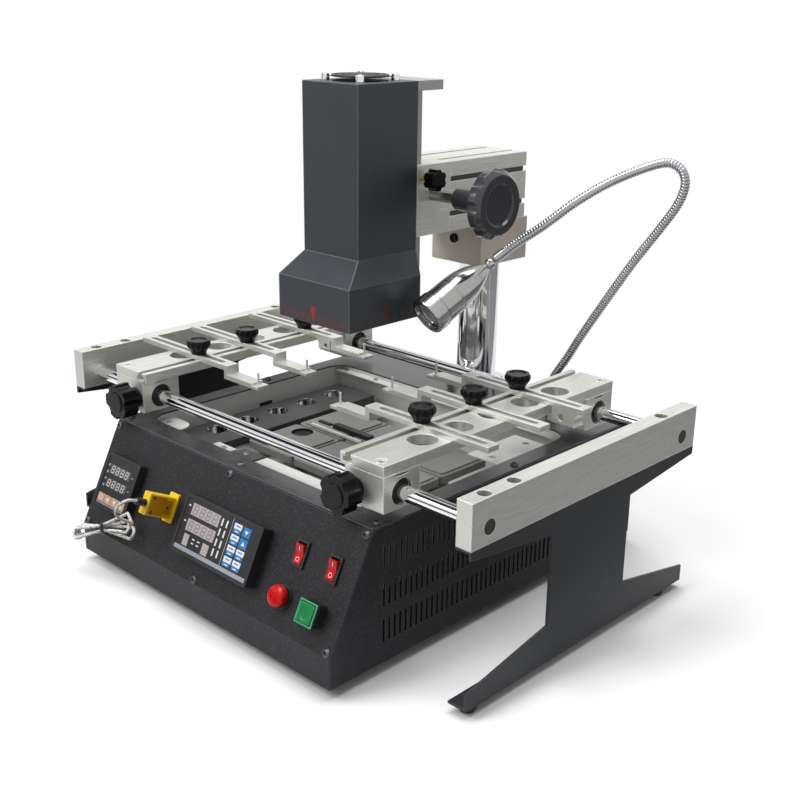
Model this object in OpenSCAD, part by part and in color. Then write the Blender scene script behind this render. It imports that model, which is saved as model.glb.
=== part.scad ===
// Infrared rework station: cabinet with a heater bay, free-standing board table, and a lifting heater head.
// Frame: millimetres, +X to the right of the front panel, +Y to the back, +Z up, Z = 0 under the feet.

/* [Cabinet] */
// Width of the cabinet
case_w = 324; // [316:1:340]
// Depth of the cabinet from the front strip to the back wall
case_d = 382; // [376:1:400]
// Height of the deck's top face above the table
deck_h = 123.5; // [120:0.5:126]
// Height of the cabinet's rubber feet
case_foot_h = 9.5; // [6:0.5:12]
// Diameter of the cabinet's rubber feet
case_foot_d = 20; // [14:1:26]
// Height of the upright strip below the sloped panel
strip_h = 25.5; // [22:0.5:28]
// How far back the sloped panel leans
panel_run = 44; // [40:1:48]
// Thickness of the cabinet's sheet steel
sheet_t = 1.5; // [1:0.1:2]
// Width of one vent slot
vent_w = 2.4; // [1.5:0.1:3.2]
// Height of one vent slot
vent_h = 19.5; // [14:0.5:22]
// Distance between vent slots
vent_pitch = 5.9; // [5:0.1:6.2]
// Number of slots in a row
vent_count = 36; // [20:1:38]
// Number of rows of slots
vent_rows = 3; // [1:1:3]
// Head diameter of the cover screws
screw_head_d = 7; // [5:0.5:9]
// Thread diameter of the cover screws
screw_d = 3; // [2:0.5:4]

/* [Heater bay] */
// Deck strip beside the opening
bay_side = 16.5; // [14:0.5:22]
// Deck strip behind the opening
bay_back = 81.5; // [76:0.5:90]
// Deck strip in front of the opening
bay_margin = 20.5; // [18:0.5:24]
// Corner radius of the deck opening
bay_r = 18; // [8:1:26]
// Depth of the liner below the deck
bay_depth = 62; // [55:1:70]
// Thickness of the liner's sheet
liner_t = 1.2; // [0.8:0.1:1.6]
// Width of the liner's rim under the deck
liner_rim = 6; // [3:0.5:8]
// Drop of the liner's ledges below the deck
ledge_drop = 3; // [2:0.5:5]
// Depth of the front ledge
ledge_front = 20; // [14:1:24]
// Width of the right ledge
ledge_side = 40; // [30:1:44]
// Length of the right ledge
ledge_side_l = 64; // [50:1:80]
// Side of one lower heater tile
tile_w = 59; // [50:1:60]
// Gap between heater tiles
tile_gap = 2; // [1:0.5:4]
// Thickness of one heater tile
tile_t = 8; // [6:0.5:10]
// Width of the heater carrier rails
tile_rail_w = 22; // [16:1:30]
// Height of the heater carrier rails
tile_rail_h = 14; // [10:1:20]
// Height of the heater tiles' tops above the bay floor
tile_top = 46; // [40:1:50]
// Width of the perforated support bar in the bay
bay_bar_w = 52; // [44:1:56]
// Thickness of the perforated support bar
bay_bar_t = 8; // [5:0.5:10]
// Distance of the support bar from the left wall
bay_bar_gap = 9; // [4:1:12]
// Diameter of the holes in the support bar
bay_hole_d = 20; // [14:1:24]
// Distance between the holes in the support bar
bay_hole_pitch = 36.5; // [30:0.5:42]
// Distance of the holes from the support bar's left edge
bay_hole_in = 20.5; // [16:0.5:26]
// Gap between the support bar and the first heater tile
tile_bar_gap = 6; // [4:0.5:12]
// Diameter of the sensor opening in a heater tile
sensor_hole_d = 20; // [12:1:22]

/* [Panel controls] */
// Side of the small square controller
small_ctrl = 48; // [44:1:48]
// Width of the wide controller
wide_ctrl_w = 96; // [90:1:100]
// Height of the wide controller
wide_ctrl_h = 48; // [42:1:50]
// How far the square controller stands proud of the panel
ctrl_proud = 8; // [5:0.5:8]
// How far the wide controller stands proud of the panel
wide_proud = 11; // [8:0.5:13]
// Depth of the controllers behind the panel
ctrl_depth = 26; // [20:1:30]
// Height of the rocker switch frame
rocker_frame_h = 21; // [19:0.5:24]
// Width of the rocker switch frame
rocker_frame_w = 13; // [12:0.5:16]
// Half of the rocker's swing
rocker_tilt = 9; // [5:1:12]
// Diameter of the round stop button
stop_d = 17; // [14:0.5:20]
// Side of the start button's housing
start_w = 18; // [16:0.5:22]
// Side of the start button's key
start_key_w = 14.4; // [12:0.2:15]
// Travel of the stop and start buttons
button_travel = 2; // [1:0.5:2.5]
// Height of the sensor socket's plate
socket_h = 25; // [22:1:28]
// Width of the sensor socket's plate
socket_w = 12; // [11:0.5:16]
// Length of the sensor plug
plug_l = 27; // [22:1:32]
// Height of the sensor plug
plug_h = 19; // [16:1:22]
// Thickness of the sensor plug
plug_w = 9; // [7:0.5:10]
// Diameter of the sensor lead
lead_d = 2.6; // [2:0.1:4]

/* [Board table] */
// Width over the outer faces of the end beams
table_w = 493; // [480:1:510]
// Deck strip behind the end beams
table_back = 46.5; // [40:0.5:52]
// Width of an end beam
beam_w = 14; // [12:1:20]
// Height of an end beam
beam_h = 35.5; // [30:0.5:37]
// Clearance of the end beams above the deck
table_rise = 8.5; // [7:0.5:10]
// Deck edge to the beams' front ends
table_setback = 8.5; // [4:0.5:12]
// Diameter of the guide rails
rail_d = 12; // [10:1:14]
// Height of the rail axes above the beams' underside
rail_lift = 13; // [12:0.5:14]
// Distance of the rail axes from the beam ends
rail_inset = 19; // [17:0.5:21]
// Thickness of the stands' sheet
stand_t = 2; // [1.5:0.1:3]
// Length of the stand's waist
stand_waist = 100; // [80:1:120]
// Width of the stand's bottom flange
stand_flange = 17; // [15:1:24]
// Height of the stand's rubber feet
stand_foot_h = 7; // [5:0.5:10]
// Diameter of the stand's rubber feet
stand_foot_d = 14; // [10:1:15]

/* [Carriages] */
// Width of a carriage bar
bar_w = 45; // [42:1:48]
// Thickness of a carriage bar
bar_t = 8.5; // [8:0.1:9]
// Height of the carriage bars' top above the beams' underside
bar_rise = 37.5; // [37.5:0.1:38.5]
// Gap between the right carriage and its end beam
right_gap = 69; // [60:0.5:75]
// Gap between the left carriage and its end beam
left_gap = 57.5; // [52:0.5:64]
// Diameter of the big holes in the bars
bar_hole_d = 24; // [18:1:26]
// Distance between the big holes
bar_hole_pitch = 41; // [38:0.5:44]
// Outer diameter of the linear bushings
bush_d = 21; // [19:0.5:22]
// Length of a bearing block along the beam direction
block_l = 38; // [34:1:38]
// Width of a bearing block along the rail
block_w = 40; // [36:0.5:42]
// How deep the bushings sit in their blocks
bush_inset = 3; // [2:0.5:6]
// Diameter of the carriage lock knobs
lock_d = 31; // [26:1:34]
// Thickness of the carriage lock knobs
lock_t = 14; // [10:1:18]
// Length of the carriage lock knobs' hubs
lock_hub = 7; // [5:0.5:10]
// Diameter of the screw heads at the bars' ends
end_screw_d = 9.4; // [7:0.2:10]
// Clearance of the sliding and turning fits
fit = 0.15; // [0.1:0.01:0.25]

/* [Board arms] */
// Width of an arm
arm_w = 12.5; // [11:0.5:14]
// Thickness of an arm
arm_t = 4.5; // [4:0.1:5]
// Length of an arm
arm_l = 170; // [160:1:180]
// Length of the lowered tip
arm_tip = 46; // [40:1:54]
// Drop of the lowered tip
arm_step = 8; // [6:0.5:9]
// Reach of the right arms inside their carriage's inner edge
right_reach = 90; // [86:0.5:92]
// Reach of the left arms inside their carriage's inner edge
left_reach = 82.5; // [80:0.5:90]
// Length of the thin lip at an arm's tip
arm_lip = 8; // [6:0.5:12]
// Width of the slot in an arm
arm_slot_w = 5.6; // [5.4:0.1:6.5]
// Diameter of the board pins
pin_d = 2; // [1.5:0.1:3]
// Height of the board pins
pin_h = 9; // [6:0.5:12]
// Diameter of the thumb knobs
thumb_d = 22; // [18:0.5:25]
// Height of the thumb knobs
thumb_h = 13; // [10:0.5:13.5]
// Diameter of the clamping bolts
bolt_d = 5; // [4:0.1:5.2]

/* [Post and arm] */
// Diameter of the post
post_d = 38; // [34:1:40]
// Distance of the post in front of the back wall
post_inset = 37.5; // [36:0.5:40]
// Side of the square arm extrusion
boom_w = 60; // [58:1:62]
// Length of the arm extrusion
boom_l = 104; // [98:1:110]
// Height of the arm's underside above the deck
boom_rise = 167.5; // [165:0.5:170]
// Length of the slide block
slide_l = 42; // [40:1:44]
// Height of the clamp block
clamp_h = 39; // [34:1:42]
// Length of the clamp block
clamp_l = 65; // [62:1:70]
// Diameter of the handwheel
wheel_d = 57; // [50:1:62]
// Length of the handwheel's shaft outside the slide block
wheel_shaft = 29; // [24:1:40]
// Length of the handwheel's hub
wheel_hub = 30; // [20:1:34]
// Thickness of the handwheel's rim
wheel_t = 15; // [12:0.5:18]
// Number of finger grooves in the handwheel
wheel_grooves = 8; // [6:1:10]
// Diameter of the handwheel's shaft
shaft_d = 10; // [8:0.5:10.5]
// Number of pinion teeth
pinion_teeth = 12; // [12:1:13]

/* [Heater head] */
// Width of the tower
tower_w = 65; // [63:1:68]
// Depth of the tower
tower_l = 68; // [66:1:70]
// Height of the tower's top above the deck
tower_top = 296; // [290:1:300]
// Height of the straight part of the tower
tower_h = 138.5; // [130:0.5:142]
// Height of the flare
flare_h = 19; // [15:1:22]
// Height of the skirt below the flare
skirt_h = 36; // [32:1:38]
// How far the flare widens each side
flare_side = 10.5; // [8:0.5:11]
// How far the flare runs forward
flare_front = 20; // [15:1:22]
// How far the skirt's back is set in
skirt_back = 5; // [0:0.5:10]
// Thickness of the head's sheet
head_t = 1.5; // [1:0.1:2]
// Diameter of the fan's opening
fan_d = 48; // [40:1:48]
// Side of the fan's frame
fan_w = 50; // [48:1:56]
// Screw pitch of the fan
fan_pitch = 40; // [38:0.5:42]
// Thickness of the fan
fan_t = 15; // [12:1:20]
// Width of the slide column
column_w = 48; // [44:1:50]
// Thickness of the slide column
column_t = 14; // [12:0.5:15]
// Thickness of the top bracket
bracket_t = 8; // [6:0.5:9]
// Length of the top bracket
bracket_l = 30; // [24:1:34]

/* [Lamp] */
// Diameter of the gooseneck
neck_d = 8; // [6:0.5:9]
// Diameter of the lamp head
lamp_d = 32; // [28:0.5:33]
// Length of the lamp head
lamp_l = 70; // [64:1:74]

/* [Hidden] */
$fn = 64;
// Frame: the back inlet stands this proud of the back wall
inlet_proud = 3;
foot_inset = 26;
strip_z = case_foot_h + strip_h;
under_deck = deck_h - sheet_t;
slope = atan2(deck_h - strip_z, panel_run);
// The start button's housing is the foremost point, so the frame is centred between it and the inlet
start_u = case_w / 2 - 26;
start_v = 25;
start_proud = 11;
front_over = max(0, start_proud * sin(slope) - (start_v - start_w / 2) * cos(slope));
front_y = -(case_d + inlet_proud - front_over) / 2;
back_y = front_y + case_d;
deck_y = front_y + panel_run;
side_in = case_w / 2 - sheet_t;
// Panel sheet: where its inner faces meet
fold_z = strip_z - sheet_t * (1 - sin(slope)) / cos(slope);
slope_y1 = front_y + (under_deck - strip_z) / tan(slope);
slope_in_y1 = slope_y1 + sheet_t / sin(slope);
// Vents, from the deck's front edge and the ground
vent_y = deck_y + 11.5;
vent_z = case_foot_h + 26.7;
vent_row_pitch = 30;
// Panel places: along X and up the slope
small_u = 37 - case_w / 2;
small_v = 45.5;
wide_u = 20;
wide_v = 43.5;
rocker_us = [case_w / 2 - 59, case_w / 2 - 23];
rocker_v = 60.5;
stop_u = case_w / 2 - 63;
stop_v = 25;
panel_screws = [for (u = [-1, 0, 1]) for (v = [3.5, 93]) [u * (case_w / 2 - 4.5), v]];
// Bay
bay_w = case_w - 2 * bay_side;
bay_y0 = deck_y + bay_margin;
bay_y1 = back_y - bay_back;
bay_l = bay_y1 - bay_y0;
bay_cy = (bay_y0 + bay_y1) / 2;
bay_bar_x0 = -bay_w / 2 + bay_bar_gap;
bay_bar_x1 = bay_bar_x0 + bay_bar_w;
bay_floor = under_deck - bay_depth;
tile_pitch = tile_w + tile_gap;
tile_x0 = bay_bar_x1 + tile_bar_gap;
tile_columns = floor((bay_w / 2 - tile_x0 + tile_gap) / tile_pitch);
tile_xs = [for (i = [0 : tile_columns - 1]) tile_x0 + tile_w / 2 + i * tile_pitch];
tile_ys = [bay_cy - tile_pitch / 2, bay_cy + tile_pitch / 2];
tile_rail_z = bay_floor + liner_t;
tile_base_z = bay_floor + tile_top - tile_t;
// Table
beam_z = deck_h + table_rise;
beam_y0 = deck_y + table_setback;
beam_y1 = back_y - table_back;
beam_l = beam_y1 - beam_y0;
table_y = (beam_y0 + beam_y1) / 2;
beam_x = table_w / 2;
right_inner = beam_x - beam_w - right_gap - bar_w;
left_inner = beam_x - beam_w - left_gap - bar_w;
rail_z = beam_z + rail_lift;
rail_ys = [beam_y0 + rail_inset, beam_y1 - rail_inset];
bar_top = beam_z + bar_rise;
bar_under = bar_top - bar_t;
// T-slot of a carriage bar, from the inner edge
slot_x = 8;
slot_w = 6;
slot_under_w = 10.4;
slot_lip = 3;
slot_floor = 1.4;
bolt_head_d = 9.6;
bolt_head_h = 3.2;
// Arms: places along the bars, from the table's middle
right_arm_ys = [-62.5, -1.5, 54.5];
left_arm_ys = [-77.5, -21.5, 50.5];
gap = 0.1;
arm_z = bar_top + gap;
lock_bore = block_l / 2 - bush_d / 2 - 0.5;
bar_hole_x = 27;
lock_x = 16;
end_screw_in = 6.8;
arm_slot_end = 6.5;
thumb_flutes = 12;
lip_drop = 1.8;
lock_screw_d = 6;
lock_front = rail_ys[0] - block_l / 2;
block_z = beam_z + 0.6;
// Post and arm
post_y = back_y - post_inset;
boom_z = deck_h + boom_rise;
boom_top = boom_z + boom_w;
boom_tail = 26;
boom_y1 = post_y + boom_tail;
boom_y0 = boom_y1 - boom_l;
slide_y0 = boom_y0 - slide_l;
clamp_y1 = boom_y1 + 5;
boom_slot_w = 4.6;
boom_under_w = 10;
post_flange_d = 58;
post_flange_h = 9;
// Rack and pinion, module 1
tooth_m = 1;
pinion_r = tooth_m * pinion_teeth / 2;
tooth_pitch = PI * tooth_m;
tooth_half = 0.56;
tooth_lean = 0.34;
rack_w = 12;
rack_root = 1.75;
head_y1 = slide_y0 - 3;
column_y1 = head_y1 + column_t;
rack_pitch_y = column_y1 + rack_root + 1.25 * tooth_m;
pinion_y = rack_pitch_y + pinion_r;
pinion_z = boom_z + 34;
lock_z = pinion_z + 15;
lock_y = column_y1 - 4;
head_lock_d = 18;
head_lock_t = 10;
// Head
head_top = deck_h + tower_top;
flare_z1 = head_top - tower_h;
flare_z0 = flare_z1 - flare_h;
head_bottom = flare_z0 - skirt_h;
head_y0 = head_y1 - tower_l;
skirt_y0 = head_y0 - flare_front;
skirt_y1 = head_y1 - skirt_back;
skirt_w = tower_w + 2 * flare_side;
head_cy = (head_y0 + head_y1) / 2;
skirt_cy = (skirt_y0 + skirt_y1) / 2;
// Lamp foot, measured from the post, and the gooseneck's way from that foot, points chosen by hand
lamp_x = 80;
lamp_y = post_y + 18;
lamp_base_h = 18;
neck_points = [
    [0, 0, 18.3], [0, 0, 20.5], [0, 0, 23], [4, 0, 30], [13, 2, 45], [26, 3, 68], [48, 6, 105], [71, 10, 143],
    [92, 13, 174], [106, 15, 196], [112, 15, 212], [111, 14, 223], [105, 11, 230], [97, 5, 232],
    [85, -10, 227], [68, -31, 216], [50, -51, 200], [30, -69, 179], [11, -80, 163], [1, -87, 153],
    [-2.8, -90.3, 148.8]
];
lamp_pivot = [-4, -95, 145.5];
lamp_dir = [-12, -65, -37];
// Sensor lead and hank, in the panel's own directions: along X, up the slope, and out of the panel
socket_u = -54;
socket_v = 47.5;
socket_t = 2;
sleeve_l = 9;
lead_w = socket_t + plug_l + sleeve_l;
lead_points = [
    [socket_u, socket_v, lead_w], [-54, 47.4, lead_w + 4], [-55, 46, 46.5], [-58, 42, 49], [-63, 36.5, 47.5],
    [-68.5, 31, 42], [-72.5, 27.5, 34], [-75, 25.6, 26], [-76.6, 24.8, 19], [-78.5, 24, 15],
    [-81.5, 22.7, 13.4]
];
hank_mid = [-116, 7.4, ctrl_proud + 0.6];
hank_turn = 24;
hank_l = 80;
hank_w = 17;
hank_t = 9;
// Bodies behind the panel
ctrl_body = small_ctrl - 3.5;
wide_body_w = wide_ctrl_w - 4.5;
wide_body_h = wide_ctrl_h - 3.5;
rocker_body_w = rocker_frame_w - 2;
rocker_body_h = rocker_frame_h - 2;
rocker_axis = 0.5;
start_body_w = start_w - 2;
socket_body_w = socket_w - 2;
socket_body_h = socket_h - 5;
blade_t = 1.2;
blade_w = 4.6;
blade_pitch = 4;
stop_body_d = stop_d - 1;
stop_stem_d = stop_d - 5;
collar_t = 1.5;
inlet_x = 52 - case_w / 2;
inlet_z = case_foot_h + 36;
inlet_w = 27;
inlet_h = 20;
right_ledge_y = bay_cy + 29;
front_ledge_in = 25.5;
front_tabs = [[-62, -38, 0.7], [-34, -8, 1]];
corner_tab = 23.5;
corner_tab_l = 34;
// Lamp shape: radius of its long rounded back, and where that back ends
lamp_back_r = 71;
lamp_back_l = 44;
lamp_pin_d = 3;
lamp_pin_l = 11;
deck_screws = [
    [0, deck_y + 9],
    for (s = [-1, 1]) for (y = [deck_y + 9, bay_cy + 29, back_y - 12]) [s * (case_w / 2 - 6), y]
];

// Helpers
module along_x(len) {
    translate([-len / 2, 0, 0])
        rotate([90, 0, 90])
            linear_extrude(len)
                children();
}
module along_y(y0, len) {
    translate([0, y0 + len, 0])
        rotate([90, 0, 0])
            linear_extrude(len)
                children();
}
module on_panel(u, v, w = 0) {
    translate([u, front_y + v * cos(slope), strip_z + v * sin(slope)])
        rotate([slope, 0, 0])
            translate([0, 0, w])
                children();
}
module rounded_rect(w, h, r) {
    square([w - 2 * r, h], center = true);
    square([w, h - 2 * r], center = true);
    for (sx = [-1, 1])
        for (sy = [-1, 1])
            translate([sx * (w / 2 - r), sy * (h / 2 - r)])
                circle(r, $fn = 32);
}
module slab(w, h, r, t) {
    linear_extrude(t)
        rounded_rect(w, h, r);
}
module box_at(x0, x1, y0, y1, z0, z1) {
    translate([x0, y0, z0])
        cube([x1 - x0, y1 - y0, z1 - z0]);
}
module lobed(d, h, lobes, bite) {
    linear_extrude(h)
        difference() {
            circle(d = d);
            for (i = [0 : lobes - 1])
                rotate((i + 0.5) * 360 / lobes)
                    translate([d / 2 + 0.55 * bite, 0])
                        circle(r = bite, $fn = 32);
        }
}
module turned(points) {
    rotate_extrude()
        polygon(points);
}
// A round tube along a smooth curve through the points
function curve_at(p, i, t) =
    let (n = len(p) - 1, a = p[max(i - 1, 0)], b = p[i], c = p[min(i + 1, n)], d = p[min(i + 2, n)])
    0.5 * (2 * b + (c - a) * t + (2 * a - 5 * b + 4 * c - d) * t * t + (3 * b - a - 3 * c + d) * t * t * t);
function unit(v) = v / norm(v);
function turned_side(s, t) = unit(s - (s * t) * t);
function sides_along(t, i, s) =
    i >= len(t) ? [] : let (n = turned_side(s, t[i])) concat([n], sides_along(t, i + 1, n));
module tube(points, d, sides, steps) {
    last = len(points) - 1;
    path = [for (i = [0 : last - 1]) for (k = [0 : steps - 1]) curve_at(points, i, k / steps), points[last]];
    rings = len(path);
    tangents = [for (i = [0 : rings - 1]) unit(path[min(i + 1, rings - 1)] - path[max(i - 1, 0)])];
    first_side = abs(tangents[0][0]) < 0.8 ? [1, 0, 0] : [0, 1, 0];
    normals = sides_along(tangents, 0, first_side);
    ring_points = [for (i = [0 : rings - 1]) for (k = [0 : sides - 1])
        let (a = 360 * k / sides, n = normals[i], b = cross(tangents[i], n))
        path[i] + d / 2 * (cos(a) * n + sin(a) * b)];
    wall = [for (i = [0 : rings - 2]) for (k = [0 : sides - 1])
        let (m = (k + 1) % sides)
        [i * sides + k, (i + 1) * sides + k, (i + 1) * sides + m, i * sides + m]];
    start_cap = [[for (k = [0 : sides - 1]) k]];
    end_cap = [[for (k = [0 : sides - 1]) rings * sides - 1 - k]];
    polyhedron(points = ring_points, faces = concat(start_cap, wall, end_cap), convexity = 6);
}

// Cabinet
module base_pan() {
    color("#2c2d30") {
        box_at(-side_in, side_in, front_y + sheet_t, back_y - sheet_t, case_foot_h, case_foot_h + sheet_t);
        difference() {
            box_at(-side_in, side_in, back_y - sheet_t, back_y, case_foot_h, under_deck);
            translate([inlet_x, back_y, inlet_z])
                cube([inlet_w + 2 * gap, 4 * sheet_t, inlet_h + 2 * gap], center = true);
        }
    }
}
module side_panel(side) {
    color("#2c2d30")
        translate([side * (case_w - sheet_t) / 2, 0, 0])
            along_x(sheet_t)
                difference() {
                    polygon([
                        [front_y + sheet_t, case_foot_h], [front_y + sheet_t, fold_z],
                        [slope_in_y1, under_deck], [back_y, under_deck], [back_y, case_foot_h]
                    ]);
                    for (row = [0 : vent_rows - 1])
                        for (i = [0 : vent_count - 1])
                            translate([vent_y + i * vent_pitch, vent_z + row * vent_row_pitch])
                                square([vent_w, vent_h], center = true);
                }
}
module left_side_panel() {
    side_panel(-1);
}
module right_side_panel() {
    side_panel(1);
}
module panel_cut(u, v, w, h) {
    on_panel(u, v, -2 * sheet_t)
        linear_extrude(4 * sheet_t)
            square([w, h], center = true);
}
module panel_bore(u, v, d) {
    on_panel(u, v, -2 * sheet_t)
        cylinder(d = d, h = 4 * sheet_t);
}
module front_panel() {
    color("#2c2d30")
        difference() {
            along_x(case_w)
                polygon([
                    [front_y, case_foot_h], [front_y, strip_z], [slope_y1, under_deck],
                    [slope_in_y1, under_deck], [front_y + sheet_t, fold_z], [front_y + sheet_t, case_foot_h]
                ]);
            panel_cut(small_u, small_v, ctrl_body + 2 * gap, ctrl_body + 2 * gap);
            panel_cut(wide_u, wide_v, wide_body_w + 2 * gap, wide_body_h + 2 * gap);
            for (u = rocker_us)
                panel_cut(u, rocker_v, rocker_body_w + 2 * gap, rocker_body_h + 2 * gap);
            panel_cut(start_u, start_v, start_body_w + 2 * gap, start_body_w + 2 * gap);
            panel_cut(socket_u, socket_v, socket_body_w + 2 * gap, socket_body_h + 2 * gap);
            panel_bore(stop_u, stop_v, stop_body_d + 2 * gap);
            for (p = panel_screws)
                panel_bore(p[0], p[1], screw_d + 2 * gap);
        }
}
module top_deck() {
    color("#303134")
        difference() {
            translate([-case_w / 2, deck_y, under_deck])
                cube([case_w, back_y - deck_y, sheet_t]);
            translate([0, bay_cy, under_deck - 1])
                slab(bay_w, bay_l, bay_r, sheet_t + 2);
            for (p = deck_screws)
                translate([p[0], p[1], under_deck - 1])
                    cylinder(d = screw_d + 2 * gap, h = sheet_t + 2);
        }
}
module cover_screw() {
    turned([
        [0, -4], [screw_d / 2, -4], [screw_d / 2, 0], [screw_head_d / 2, 0], [screw_head_d / 2, 0.6],
        [0.36 * screw_head_d, 1.6], [0.2 * screw_head_d, 2], [0.2 * screw_head_d, 1.2], [0, 1.2]
    ]);
}
module cover_screws() {
    color("#202022") {
        for (p = panel_screws)
            on_panel(p[0], p[1])
                cover_screw();
        for (p = deck_screws)
            translate([p[0], p[1], deck_h])
                cover_screw();
    }
}
module rubber_foot(d, h) {
    turned([[0, 0], [0.4 * d, 0], [0.5 * d, 0.35 * h], [0.5 * d, h], [0, h]]);
}
module rubber_feet() {
    color("#161616")
        for (side = [-1, 1]) {
            for (y = [front_y + foot_inset, back_y - foot_inset])
                translate([side * (case_w / 2 - foot_inset), y, 0])
                    rubber_foot(case_foot_d, case_foot_h);
            for (y = [beam_y0 + 12, beam_y1 - 25])
                translate([side * (beam_x - stand_flange / 2), y, 0])
                    rubber_foot(stand_foot_d, stand_foot_h);
        }
}

// Heater bay
module bay_liner() {
    x1 = bay_w / 2;
    ledge_z = under_deck - ledge_drop - liner_t;
    color("#c9cac6") {
        difference() {
            union() {
                box_at(-x1 - liner_t, x1 + liner_t, bay_y0 - liner_t, bay_y1 + liner_t,
                    bay_floor, under_deck);
                box_at(-x1 - liner_rim, x1 + liner_rim, bay_y0 - liner_rim, bay_y1 + liner_rim,
                    under_deck - liner_t, under_deck);
            }
            box_at(-x1, x1, bay_y0, bay_y1, bay_floor + liner_t, under_deck + 1);
        }
        box_at(-5, x1 - front_ledge_in, bay_y0, bay_y0 + ledge_front, ledge_z, ledge_z + liner_t);
        for (t = front_tabs)
            box_at(t[0], t[1], bay_y0, bay_y0 + t[2] * ledge_front, ledge_z, ledge_z + liner_t);
        box_at(-x1, corner_tab - x1, bay_y0, bay_y0 + corner_tab, ledge_z, ledge_z + liner_t);
        translate([corner_tab - x1, bay_y0 + corner_tab / 2, ledge_z])
            cylinder(d = corner_tab, h = liner_t);
        difference() {
            box_at(x1 - corner_tab_l, x1, bay_y0 + 14, bay_y0 + 36, ledge_z, ledge_z + liner_t);
            translate([x1 - 0.6 * corner_tab_l, bay_y0 + 25, ledge_z - 1])
                cylinder(d = 8, h = liner_t + 2);
        }
        difference() {
            box_at(x1 - ledge_side, x1, right_ledge_y, right_ledge_y + ledge_side_l,
                ledge_z, ledge_z + liner_t);
            for (k = [0.15, 0.85])
                translate([x1 - 0.5 * ledge_side, right_ledge_y + k * ledge_side_l, ledge_z - 1])
                    cylinder(d = 6, h = liner_t + 2);
        }
        box_at(-x1, x1, bay_y1 - 9, bay_y1, ledge_z, ledge_z + liner_t);
    }
}
module lower_heaters() {
    top_t = 1.5;
    color("#3c3b39")
        difference() {
            for (x = tile_xs)
                for (y = tile_ys)
                    translate([x, y, 0]) {
                        translate([0, 0, tile_base_z])
                            slab(tile_w, tile_w, 4, tile_t - top_t);
                        translate([0, 0, tile_base_z + tile_t - top_t])
                            slab(tile_w - 6, tile_w - 6, 4, top_t);
                        translate([0, 0, tile_rail_z + tile_rail_h])
                            cylinder(d = 16, h = tile_base_z - tile_rail_z - tile_rail_h);
                    }
            translate([tile_xs[0] - 7, tile_ys[0] + 16, tile_base_z + 0.5 * tile_t])
                cylinder(d = sensor_hole_d, h = tile_t);
        }
}
module heater_rails() {
    lip = 1.5;
    color("#8e8f8c")
        for (y = tile_ys)
            difference() {
                translate([0, y, tile_rail_z])
                    along_x(bay_w - 8)
                        polygon([
                            [-tile_rail_w / 2, 0], [tile_rail_w / 2, 0], [tile_rail_w / 2, tile_rail_h],
                            [-tile_rail_w / 2, tile_rail_h], [-tile_rail_w / 2, tile_rail_h - lip],
                            [tile_rail_w / 2 - lip, tile_rail_h - lip], [tile_rail_w / 2 - lip, lip],
                            [-tile_rail_w / 2, lip]
                        ]);
                for (i = [1 : tile_columns - 1])
                    translate([tile_xs[i] - tile_pitch / 2, y, tile_rail_z + tile_rail_h])
                        cube([30, 6, 6], center = true);
            }
}
module board_support_bar() {
    z1 = bay_floor + tile_top;
    y0 = bay_y0 + 26;
    y1 = bay_y1 - 12;
    leg_t = 4;
    gaps = floor((y1 - y0 - bay_hole_d - 4 * leg_t) / bay_hole_pitch);
    first_y = (y0 + y1 - gaps * bay_hole_pitch) / 2;
    color("#2a2a2b")
        difference() {
            union() {
                box_at(bay_bar_x0, bay_bar_x1, y0, y1, z1 - bay_bar_t, z1);
                for (y = [y0, y1 - leg_t])
                    box_at(bay_bar_x0, bay_bar_x1, y, y + leg_t, bay_floor + liner_t, z1);
            }
            for (i = [0 : gaps])
                translate([bay_bar_x0 + bay_hole_in, first_y + i * bay_hole_pitch, z1 - bay_bar_t - 1])
                    cylinder(d = bay_hole_d, h = bay_bar_t + 2);
        }
}

// Panel controls
module controller(w, h, proud, body_w, body_h) {
    translate([0, 0, -ctrl_depth])
        slab(body_w, body_h, 1, ctrl_depth);
    difference() {
        slab(w, h, 2, proud);
        translate([0, 0, proud - 0.8])
            slab(w - 5, h - 5, 1.5, 2);
    }
}
module lower_controller() {
    color("#1b1b1d")
        on_panel(small_u, small_v)
            controller(small_ctrl, small_ctrl, ctrl_proud, ctrl_body, ctrl_body);
}
module upper_controller() {
    color("#1b1b1d")
        on_panel(wide_u, wide_v)
            controller(wide_ctrl_w, wide_ctrl_h, wide_proud, wide_body_w, wide_body_h);
}
module panel_fittings() {
    color("#151516") {
        for (u = rocker_us)
            on_panel(u, rocker_v)
                rocker_frame();
        on_panel(stop_u, stop_v)
            difference() {
                union() {
                    cylinder(d = stop_d + 2, h = collar_t);
                    translate([0, 0, -14])
                        cylinder(d = stop_body_d, h = 14);
                }
                translate([0, 0, -11])
                    cylinder(d = stop_stem_d + 2 * fit, h = 20);
            }
        on_panel(start_u, start_v)
            difference() {
                union() {
                    slab(start_w, start_w, 2, start_proud);
                    translate([0, 0, -14])
                        slab(start_body_w, start_body_w, 1, 14);
                }
                translate([0, 0, start_proud - 8.5])
                    slab(start_key_w + 2 * fit, start_key_w + 2 * fit, 1.5, 10);
            }
    }
    color("#e0b325")
        on_panel(socket_u, socket_v)
            difference() {
                union() {
                    slab(socket_w, socket_h, 1, socket_t);
                    translate([0, 0, -12])
                        slab(socket_body_w, socket_body_h, 1, 12);
                }
                for (k = [-1, 1])
                    translate([0, k * blade_pitch, -9 + socket_t])
                        linear_extrude(12)
                            square([blade_t + 2 * fit, blade_w + 2 * fit], center = true);
            }
}
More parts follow.
